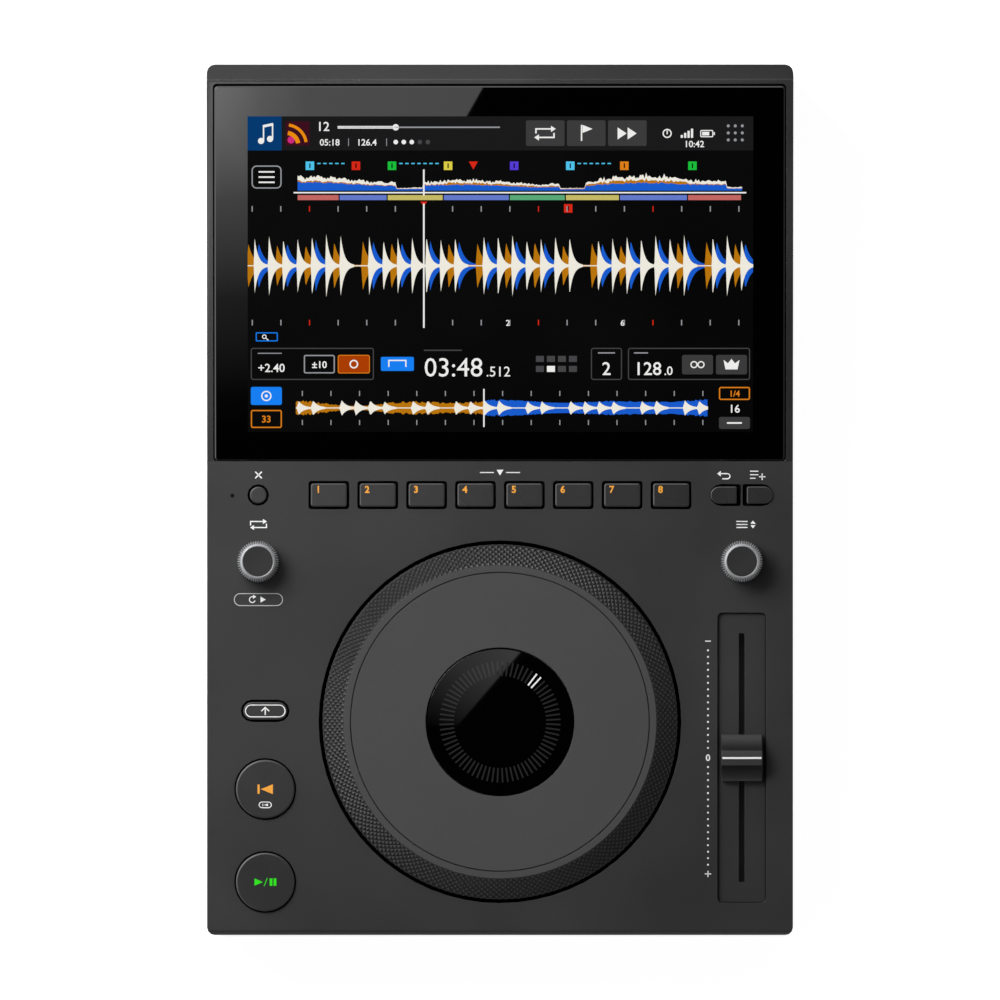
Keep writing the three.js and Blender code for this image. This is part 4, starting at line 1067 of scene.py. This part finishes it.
cap = on_key("play_button")
cap.area([(-4.6, 1.55), (-4.6, -1.55), (-1.0, 0)])
cap.line([(-0.5, -1.75), (0.9, 1.75)], 0.36)
for left in (1.9, 3.6):
    cap.box(left, -1.6, left + 1.2, 1.6)
cap.piece("play_figure", GREEN_LIT, "play_key", "key_plastic")


# Picture on the screen, in steps across and up the display from its front left corner

SCREEN_LEFT = -108.3
SCREEN_LOW = 12.7
SCREEN_COLUMNS = 505
SCREEN_ROWS = 315
UP = PIXEL / math.cos(TILT)
FILM_LOW, FILM_HIGH = 0.001, 0.011
LAYER = 0.012
GROUND, PLATE, DEEP, MIDDLE, FRONT = range(5)
PAINTS = {
    "white": (240, 240, 238, FRONT),
    "pale": (150, 152, 156, FRONT),
    "black_sign": (6, 6, 8, FRONT),
    "dim": (70, 70, 72, MIDDLE),
    "bar": (27, 27, 28, GROUND),
    "button": (60, 60, 61, PLATE),
    "tile": (6, 58, 112, PLATE),
    "rose": (206, 44, 126, MIDDLE),
    "sun": (236, 140, 12, FRONT),
    "dusk": (60, 16, 30, PLATE),
    "wave_orange": (186, 118, 14, MIDDLE),
    "wave_blue": (26, 92, 206, DEEP),
    "wave_white": (240, 236, 224, FRONT),
    "bright_blue": (24, 128, 244, PLATE),
    "deep_orange": (170, 62, 4, PLATE),
    "orange_line": (222, 128, 28, MIDDLE),
    "red": (214, 40, 24, MIDDLE),
    "cyan": (80, 196, 236, MIDDLE),
    "green": (28, 190, 60, MIDDLE),
    "violet": (86, 60, 214, MIDDLE),
    "yellow": (222, 206, 70, MIDDLE),
    "strip_rose": (196, 104, 100, PLATE),
    "strip_blue": (100, 122, 204, PLATE),
    "strip_sand": (200, 188, 104, PLATE),
    "strip_green": (90, 170, 120, PLATE),
}
layers = {}
for name, (*_, level) in PAINTS.items():
    foot = FILM_HIGH + 0.003 + LAYER * level
    layers[name] = Marks(foot, foot + LAYER * 0.9)


def u(value):
    return SCREEN_LEFT + value * PIXEL


def v(value):
    return SCREEN_LOW + value * UP


def field(name, u0, v0, u1, v1, corner=0.0):
    layers[name].box(u(u0), v(v0), u(u1), v(v1), corner * PIXEL)


def outlined(name, u0, v0, u1, v1, corner=2.0, width=1.0):
    layers[name].frame(u(u0), v(v0), u(u1), v(v1), width * PIXEL, corner * PIXEL)


def figures(name, text, at, foot, size, align="LEFT", bold=0.05):
    layers[name].numerals(text, u(at), v(foot), size * PIXEL, align, bold)


def shape(name, *corners):
    layers[name].area([(u(a), v(b)) for a, b in corners])


def stroke(name, width, *corners):
    layers[name].line([(u(a), v(b)) for a, b in corners], width * PIXEL)


def dot(name, at, up, radius, sides=20):
    layers[name].dot(u(at), v(up), radius * PIXEL, sides)


def circle(name, at, up, radius, width, sides=32):
    layers[name].circle(u(at), v(up), radius * PIXEL, width * PIXEL, sides)


def draw(how, **marks):
    """Draws marks of one kind, listed by their paint."""
    for name, items in marks.items():
        for item in items:
            how(name, *item)


def scatter(k):
    """A repeatable number from 0 to 1 for a number."""
    value = math.sin(k * 12.9898 + 4.1414) * 43758.5453
    return value - math.floor(value)


def mirrored_wave(name, u0, u1, middle, step, height):
    """A wave that is as tall above its middle line as below it."""
    places = [u0 + k * step for k in range(round((u1 - u0) / step) + 1)]
    wave = [(u(at), height(at)) for at in places]
    layers[name].area([(a, v(middle + h)) for a, h in wave] + [(a, v(middle - h)) for a, h in reversed(wave)])


film = Marks(FILM_LOW, FILM_HIGH)
film.box(u(0), v(0), u(SCREEN_COLUMNS), v(SCREEN_ROWS))
film.piece("display_film", FILM, "case", "black_glass", SLOPE)

# the head of the screen: a source tile, a picture tile, a bar of progress, three keys and small signs
draw(
    field,
    bar=[(0, 281, SCREEN_COLUMNS, SCREEN_ROWS)],
    tile=[(0, 281, 34, SCREEN_ROWS)],
    dusk=[(38, 286, 62, 310)],
    pale=[(90, 303.4, 252, 304.8), (100.5, 285.5, 101.2, 293), (138.5, 285.5, 139.2, 293)],
    button=[(left, 285.5, left + 38.5, 311, 1.6) for left in (278, 319, 360)],
    white=[
        (90, 302.8, 148, 305.4),
        (418.4, 297.2, 419.6, 301),
        *[(432.5 + 3.4 * k, 293.6, 434.7 + 3.4 * k, 296.4 + 2.1 * k) for k in range(4)],
        (454, 296.0, 461, 299.6),
        (465.3, 296.4, 466.6, 299.2),
    ],
)
draw(
    dot,
    white=[(13.5, 290.5, 3.1), (22.5, 292.5, 3.1), (148, 304.1, 3.2)],
    rose=[(43.5, 291.5, 3.6)],
    pale=[(480 + 7 * column, 291.5 + 7 * row, 1.5, 12) for row in range(3) for column in range(3)],
)
for k in range(5):
    dot("white" if k < 3 else "dim", 148 + 8 * k, 289.4, 2.3)
draw(stroke, white=[
    (1.4, (16.0, 290.5), (16.0, 305.5)),
    (1.4, (25.0, 292.5), (25.0, 307.5)),
    (2.6, (15.3, 305.0), (25.7, 307.2)),
    (1.5, (288, 298), (288, 302.5), (304, 302.5)),
    (1.5, (306, 298.5), (306, 294), (290, 294)),
    (1.4, (333.5, 290.5), (333.5, 306.5)),
])
draw(shape, white=[
    ((303, 305.6), (303, 299.4), (307.8, 302.5)),
    ((291, 297.1), (291, 290.9), (286.2, 294)),
    ((334.5, 306.5), (334.5, 298.5), (344.5, 302.5)),
    ((369.5, 304), (369.5, 292), (378.5, 298)),
    ((379.5, 304), (379.5, 292), (388.5, 298)),
])
for radius, width in ((12, 4.2), (20, 3.0)):
    layers["sun"].arc(u(38.6), v(286.6), radius * PIXEL, 8, 82, width * PIXEL)
circle("white", 419, 298, 4.6, 1.2)
outlined("white", 452, 294.2, 465, 301.4, 1.4, 1.0)
figures("white", "12", 69, 300.5, 9.5, "LEFT", 0.04)
draw(figures, white=[("05:18", 72, 286.0, 6.6), ("126.4", 109, 286.0, 6.6), ("10:42", 436, 284.4, 6.6)])

# the coloured summary of the whole piece of music
outlined("pale", 4, 243, 34, 266, 5, 1.2)
for k in range(3):
    field("white", 11, 248.5 + 5.2 * k, 27, 250.0 + 5.2 * k)


def summary(at):
    """The height of the summary, from slow swells with quiet places between them."""
    swell = 0.62 + 0.3 * math.sin(at / 37.0) * math.sin(at / 91.0 + 1.0)
    quiet = 0.35 if 148 < at < 176 or 312 < at < 338 or at > 478 else 1.0
    return 15.5 * swell * quiet


def blue_top(at):
    return summary(at) * (0.52 + 0.12 * scatter(at + 3))


def orange_top(at):
    return blue_top(at) + summary(at) * (0.1 + 0.22 * scatter(at + 7)) * (1.0 if 196 < at < 440 else 0.4)


def white_top(at):
    return orange_top(at) + summary(at) * (0.14 + 0.3 * scatter(at))


places = [50 + 1.5 * k for k in range(297)]
lower = [0.0] * len(places)
for name, top in (("wave_blue", blue_top), ("wave_orange", orange_top), ("wave_white", white_top)):
    upper = [top(at) for at in places]
    edge = [(at, 241 + max(high, low + 0.2)) for at, low, high in zip(places, lower, upper)]
    shape(name, *[(at, 241 + low) for at, low in zip(places, lower)], *reversed(edge))
    lower = upper
field("white", 46, 238.2, 498, 239.6)
field("white", 175.2, 236, 176.8, 262)
edges = [50, 92, 140, 196, 262, 318, 372, 440, 494]
strips = ["rose", "blue", "sand", "blue", "green", "sand", "blue", "rose"]
for name, left, right in zip(strips, edges, edges[1:]):
    field("strip_" + name, left, 231.5, right - 1.2, 236.5)
cues = ["cyan", "red", "green", "yellow", "violet", "cyan", "orange_line", "green"]
for name, left in zip(cues, [58, 104, *edges[2:]]):
    field(name, left, 261.5, left + 8.5, 270)
    field("black_sign", left + 3.6, 263.4, left + 4.9, 268.1)
for start, count in ((69.5, 5), (151.5, 7), (329.5, 6)):
    for k in range(count):
        field("cyan", start + 6 * k, 267.4, start + 3.4 + 6 * k, 268.6)
shape("red", (221, 270), (230, 270), (225.5, 262))

# the large wave with its playing line
BEAT = 14.3
PLAYING = 176.0


def struck(at, phase, rise, decay, every, skip):
    """The height left at a place by beats that rise sharply and die away."""
    place = (at - phase) / BEAT
    beat = math.floor(place / every) * every
    if round(beat / every) % 8 in skip:
        return 0.0
    since = (place - beat) * BEAT
    swell = 0.82 + 0.18 * scatter(beat + 11)
    return swell * (since / rise if since < rise else math.exp(-(since - rise) / decay))


def beats(name, u0, u1, middle, step, least, tall, *beat):
    mirrored_wave(name, u0, u1, middle, step, lambda at: least + tall * struck(at, *beat))


beats("wave_blue", 0, SCREEN_COLUMNS, 166, 0.8, 0.8, 26.0, 9.2, 1.6, 5.6, 2, [3])
beats("wave_orange", 0, SCREEN_COLUMNS, 166, 0.8, 0.6, 24.0, 13.4 + BEAT, 1.6, 5.2, 2, [5])
beats("wave_white", 0, SCREEN_COLUMNS, 166, 0.5, 0.5, 31.0, 6.0, 1.0, 3.6, 1, [7])
for k in range(18):
    at = 4.0 + 28.6 * k
    for low in (220, 106.5):
        field("red" if k % 4 == 2 else "pale", at, low, at + 1.1, low + 5.5)
field("white", PLAYING - 0.8, 104, PLAYING + 0.8, 228)
shape("red", (PLAYING - 3.4, 230), (PLAYING + 3.4, 230), (PLAYING, 225.4))
field("red", 316, 219, 324.5, 227.5)
field("black_sign", 319.6, 221, 320.9, 225.6)
figures("white", "2", 260, 106.2, 6.0, "CENTER")
figures("white", "6", 374.5, 106.2, 6.0, "CENTER")
outlined("bright_blue", 8, 90.5, 30, 99.5, 1.0, 1.0)
circle("white", 16.5, 95.2, 2.3, 0.9, 16)
stroke("white", 1.0, (18.3, 93.6), (20.6, 91.6))

# the row of values: tempo, time and beats
draw(
    outlined,
    dim=[(3, 52, 126, 84, 2.5), (343, 52, 374, 84, 2.5), (380, 52, 502, 84, 2.5)],
    pale=[(56, 58.5, 87, 77, 2.0, 1.2)],
    orange_line=[(90, 58.5, 122, 77, 2.0, 0.8)],
)
draw(figures, white=[
    ("+2.40", 10, 60, 8.6),
    ("±10", 71.5, 64, 7.0, "CENTER", 0.08),
    ("03:48", 176, 55.5, 19.5, "LEFT", 0.0),
    (".512", 238, 55.5, 10.5, "LEFT", 0.0),
    ("2", 358.5, 57, 13.5, "CENTER"),
    ("128", 386, 57, 13.5),
    (".0", 416, 57, 9.0),
])
draw(
    field,
    deep_orange=[(90, 58.5, 122, 77, 2.0)],
    bright_blue=[(133, 61, 166, 75, 1.5)],
    dim=[(176, 81, 214, 82.2), *[(288 + 11 * k, 70, 296 + 11 * k, 76) for k in range(4)]],
    pale=[(350, 78.4, 367, 79.6), (386, 78.4, 400, 79.6)],
    button=[(434, 57.5, 465, 77, 2.0), (468, 57.5, 499, 77, 2.0)],
)
for k, name in enumerate(("dim", "white", "dim", "dim")):
    field(name, 288 + 11 * k, 60, 296 + 11 * k, 66)
stroke("pale", 0.9, (10, 78.6), (34, 78.6))
stroke("white", 1.3, (141, 65), (141, 71.5), (158, 71.5), (158, 65))
draw(circle, white=[(106, 67.8, 4.4, 1.4), (446, 67.3, 3.6, 1.2), (453, 67.3, 3.6, 1.2)])
shape("white", (477.5, 62.5), (489.5, 62.5), (491.5, 72), (487, 68.6), (483.5, 73), (480, 68.6), (475.5, 72))

# the foot of the screen: keys on both sides and a second, smaller wave
draw(field, bright_blue=[(3, 27, 34, 45, 2.0)], button=[(471, 3, 502, 15, 2.0)], white=[(479, 8.2, 494, 9.8)])
circle("white", 18.5, 36, 5.2, 1.3)
dot("white", 18.5, 36, 1.6)
draw(outlined, orange_line=[(3, 4, 34, 22, 2.0, 1.2), (471, 32, 502, 45, 2.0, 1.2)])
figures("orange_line", "33", 18.5, 9.6, 7.0, "CENTER", 0.08)
figures("orange_line", "1/4", 486.5, 35.4, 6.2, "CENTER", 0.06)
figures("white", "16", 486.5, 19.4, 8.2, "CENTER", 0.06)


def loose(at):
    swell = 0.55 + 0.45 * math.sin(at / 23.0) * math.sin(at / 61.0)
    return 8.6 * swell * (0.55 + 0.45 * scatter(at * 2))


SMALL_PLAYING = PLAYING + 60
mirrored_wave("wave_orange", 48, SMALL_PLAYING, 24, 1.5, lambda at: 1.2 + loose(at))
mirrored_wave("wave_blue", SMALL_PLAYING, 460, 24, 1.5, lambda at: 4.4 + 0.55 * loose(at + 5))
beats("wave_white", 48, 460, 24, 1.0, 0.5, 7.4, 6.0, 2.0, 4.5, 1, [2, 5])
for k in range(15):
    at = 54.0 + 28.6 * k
    for low in (36, 7):
        field("pale", at, low, at + 1.0, low + 5)
field("white", SMALL_PLAYING - 0.7, 5, SMALL_PLAYING + 0.7, 43)

for name, (*colour, _) in PAINTS.items():
    layers[name].piece("screen_" + name, lit("screen_" + name, tint(*colour)), "case", "black_glass", SLOPE)


# Small parts

recess_floor = DECK - RECESS_DEPTH
# a black band round the floor of the recess: a painted shadow along its walls
shadow_line = Marks(recess_floor - 0.005, recess_floor + 0.015, RECESS)
across, along = RECESS_HALF.x - 0.02, RECESS_HALF.y - 0.02
shadow_line.frame(-across, -along, across, along, 0.42, 2.0, 8)
shadow_line.piece("recess_painted_shadow", BLACK_AND_SHADE, "case", "case_plastic")

bars = printed_on(JOG_TOP, JOG)
cue_bar = printed_on(JOG_TOP, JOG)
for k in range(36):
    for turn in (-2.5, 2.5):
        angle = math.pi / 2 - math.radians(10 * k + turn)
        along = Vector((math.cos(angle), math.sin(angle)))
        (cue_bar if k == 4 else bars).line([along * 19.8, along * 26.0], 0.66)
bars.piece("jog_display_bars", lit("dim_bar", plain(40), 1.0, 0.0, 0.012, 0.5), "case", "black_glass")
cue_bar.piece("jog_display_cue", lit("bright_bar", plain(240)), "case", "black_glass")

low, high = node_box("tempo_knob")
line = Marks(high.z - 0.12, high.z, (0.0, (low.y + high.y) / 2))
line.box(low.x + 0.4, -0.42, high.x - 0.4, 0.42)
line.piece("tempo_knob_line", INK, "tempo_fader", "key_plastic")

lamp_place = (-115.0, 1.9)
profile = [(0, -0.02), (0.85, -0.02), (0.85, 0.03), (0.6, 0.03), (0.5, 0.0), (0, 0.02)]
new_piece("deck_lamp", lathe(profile, 24, lamp_place, DECK), BLACK_AND_SHADE, "case", smooth=35.0)

low, high = node_box("back_button")
pip = Marks(high.z, high.z + 0.12, (low.x, (low.y + high.y) / 2))
pip.box(2.2, -0.2, 4.2, 0.2, 0.19)
pip.piece("back_pip", KEYS, "back_key", "key_plastic")


# Floor, light and camera

FRAME_SIDE = 429.6
LENS_LENGTH = 800.0
SENSOR = 36.0
EYE_HEIGHT = DECK + FRAME_SIDE * LENS_LENGTH / SENSOR
CARD_HEIGHT = 1000.0
FLOOR_HALF = 6000
MIRRORED = math.tan(2 * TILT)
AMBIENT = 0.1
WHITE_LIGHT = (1.0, 1.0, 1.0, 1.0)


def mirror_seen(make):
    """1 for what the camera sees directly, in a mirror or through glass, and 0 for what lights the object."""
    seen = make.node("LightPath", "Is Camera Ray", {})
    path = seen.node
    for name in ("Is Glossy Ray", "Is Transmission Ray"):
        seen = make.node("Math", 0, {0: seen, 1: path.outputs[name]}, operation="MAXIMUM")
    return seen


def sheet(name, points, columns, material):
    """A sheet of the stage through rows of points, with so many columns."""
    starts = [k for k in range(len(points) - columns) if (k + 1) % columns]
    faces = [(k, k + columns, k + columns + 1, k + 1) for k in starts]
    mesh = bpy.data.meshes.new(name)
    mesh.from_pydata([Vector(p) * MM for p in points], [], faces)
    mesh.materials.append(material)
    return linked(name, mesh)


def square(half, z):
    return [(x, y, z) for x in (-half, half) for y in (-half, half)]


def stage_floor():
    make = new_material("pale_floor")
    glow = make.node("Math", 0, {0: mirror_seen(make), 1: 0.92}, operation="MULTIPLY")
    material = make.end({
        "Base Color": (0.45, 0.45, 0.45, 1.0),
        "Roughness": 0.9,
        "Specular IOR Level": 0.0,
        "Emission Color": WHITE_LIGHT,
        "Emission Strength": glow,
    })
    floor = sheet("floor", square(FLOOR_HALF, 0), 2, material)
    floor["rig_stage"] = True


def card(name, points, strengths, columns=2):
    """A card that only glossy rays see: its strength at each point, black where it is zero."""
    make = new_material(name)
    level = make.node("VertexColor", "Color", {}, layer_name="level")
    glow = make.node("Emission", "Emission", {"Color": level})
    piece = sheet(name, points, columns, make.end({"Surface": glow}, "Material Output"))
    colours = piece.data.color_attributes.new("level", "FLOAT_COLOR", "POINT")
    for item, strength in zip(colours.data, strengths):
        item.color = (strength, strength, strength, 1.0)
    piece.visible_camera = False
    piece.visible_diffuse = False
    piece.visible_shadow = False
    piece.visible_transmission = False
    piece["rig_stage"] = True


def over(px, py, base, tilt=0.0):
    """The place on the cards that a mirror at the height base shows at a pixel of the picture."""
    x, y = plan(px, py)
    spread_out = 1 + (CARD_HEIGHT - base) / (EYE_HEIGHT - base)
    return x * spread_out, y * spread_out - (CARD_HEIGHT - base) * tilt, CARD_HEIGHT


def screen_card():
    """The card that the sloped glass mirrors: lit at its upper left, with a slanting edge on the right."""
    rows = [
        (-60, (4.3, 4.3, 3.7, 2.5, 1.75, 1.62)),
        (64, (4.3, 4.3, 3.7, 2.5, 1.75, 1.62)),
        (117, (4.0, 3.7, 3.1, 2.2, 1.75, 1.62)),
        (200, (1.6, 1.36, 1.3, 1.2, 1.1, 1.0)),
        (300, (0.5, 0.34, 0.3, 0.26, 0.2, 0.1)),
        (400, (0.035, 0.035, 0.03, 0.02, 0.01, 0.0)),
        (440, (0.0, 0.0, 0.0, 0.0, 0.0, 0.0)),
    ]
    points = []
    for py, _ in rows:
        edge = 482 - (py - 86.6) * 0.5556
        points += [over(px, py, 95, MIRRORED) for px in (60, 190, 222, 262, 305, edge)]
    card("screen_card", points, [level for _, levels in rows for level in levels], 6)


def jog_card():
    """The card that the flat lens of the jog wheel mirrors: lit to the upper left of a slanting edge."""
    rows = [(628, 0.42, 1.15), (660, 0.34, 0.88), (690, 0.18, 0.5), (726, 0.01, 0.08)]
    points = []
    for py, _, _ in rows:
        points += [over(px, py, JOG_TOP) for px in (413, 534 - (py - 628) * 0.854)]
    card("jog_card", points, [level for _, *levels in rows for level in levels])


def side_cards():
    """Upright cards that the object's edges mirror, lit on the left and behind, and a lit strip of floor."""
    far = 1500
    posts = [(-far, -700, 2.2), (-far, far, 5.4), (900, far, 1.1)]
    posts += [(far, 900, 0.5), (far, -far, 0.3), (-700, -far, 0.3)]
    points = [(x, y, z) for x, y, _ in posts for z in (far, 150)]
    card("side_cards", points, [level for *_, level in posts for _ in range(2)])
    strip = [(-far, 0.6), (-60, 0.6), (100, 0.0), (far, 0.0)]
    points = [(x, y, 2) for x, _ in strip for y in (196, 3000)]
    card("floor_card", points, [level for _, level in strip for _ in range(2)])


def area_light(name, place, size, power):
    light = bpy.data.lights.new(name, "AREA")
    light.size = size
    light.energy = power
    lamp = linked(name, light)
    lamp.location = place
    lamp.rotation_euler = (Vector((0, 0, 0.08)) - Vector(place)).to_track_quat("-Z", "Y").to_euler()


stage_floor()
screen_card()
jog_card()
side_cards()
# a dark sheet above the cards, so that the glass mirrors no sky
card("black_flag", square(900, CARD_HEIGHT + 40), [0.0] * 4)
area_light("key_light", (-0.5, 0.42, 0.92), 0.6, 13.5)
area_light("fill_light", (1.6, -1.2, 1.8), 1.6, 9.0)

studio = Nodes(bpy.data.worlds.new("studio"))
strength = studio.spread(mirror_seen(studio), AMBIENT, 1.0, 0.0, 1.0)
bpy.context.scene.world = studio.end({"Color": WHITE_LIGHT, "Strength": strength}, "Background")

camera = bpy.data.cameras.new("camera")
camera.lens = LENS_LENGTH
camera.sensor_width = SENSOR
camera.clip_start = 0.1
camera.clip_end = 100.0
viewer = linked("camera", camera)
viewer.location = (0, 0, EYE_HEIGHT * MM)
bpy.context.scene.camera = viewer
bpy.context.scene.view_settings.view_transform = "Standard"

low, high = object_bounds()
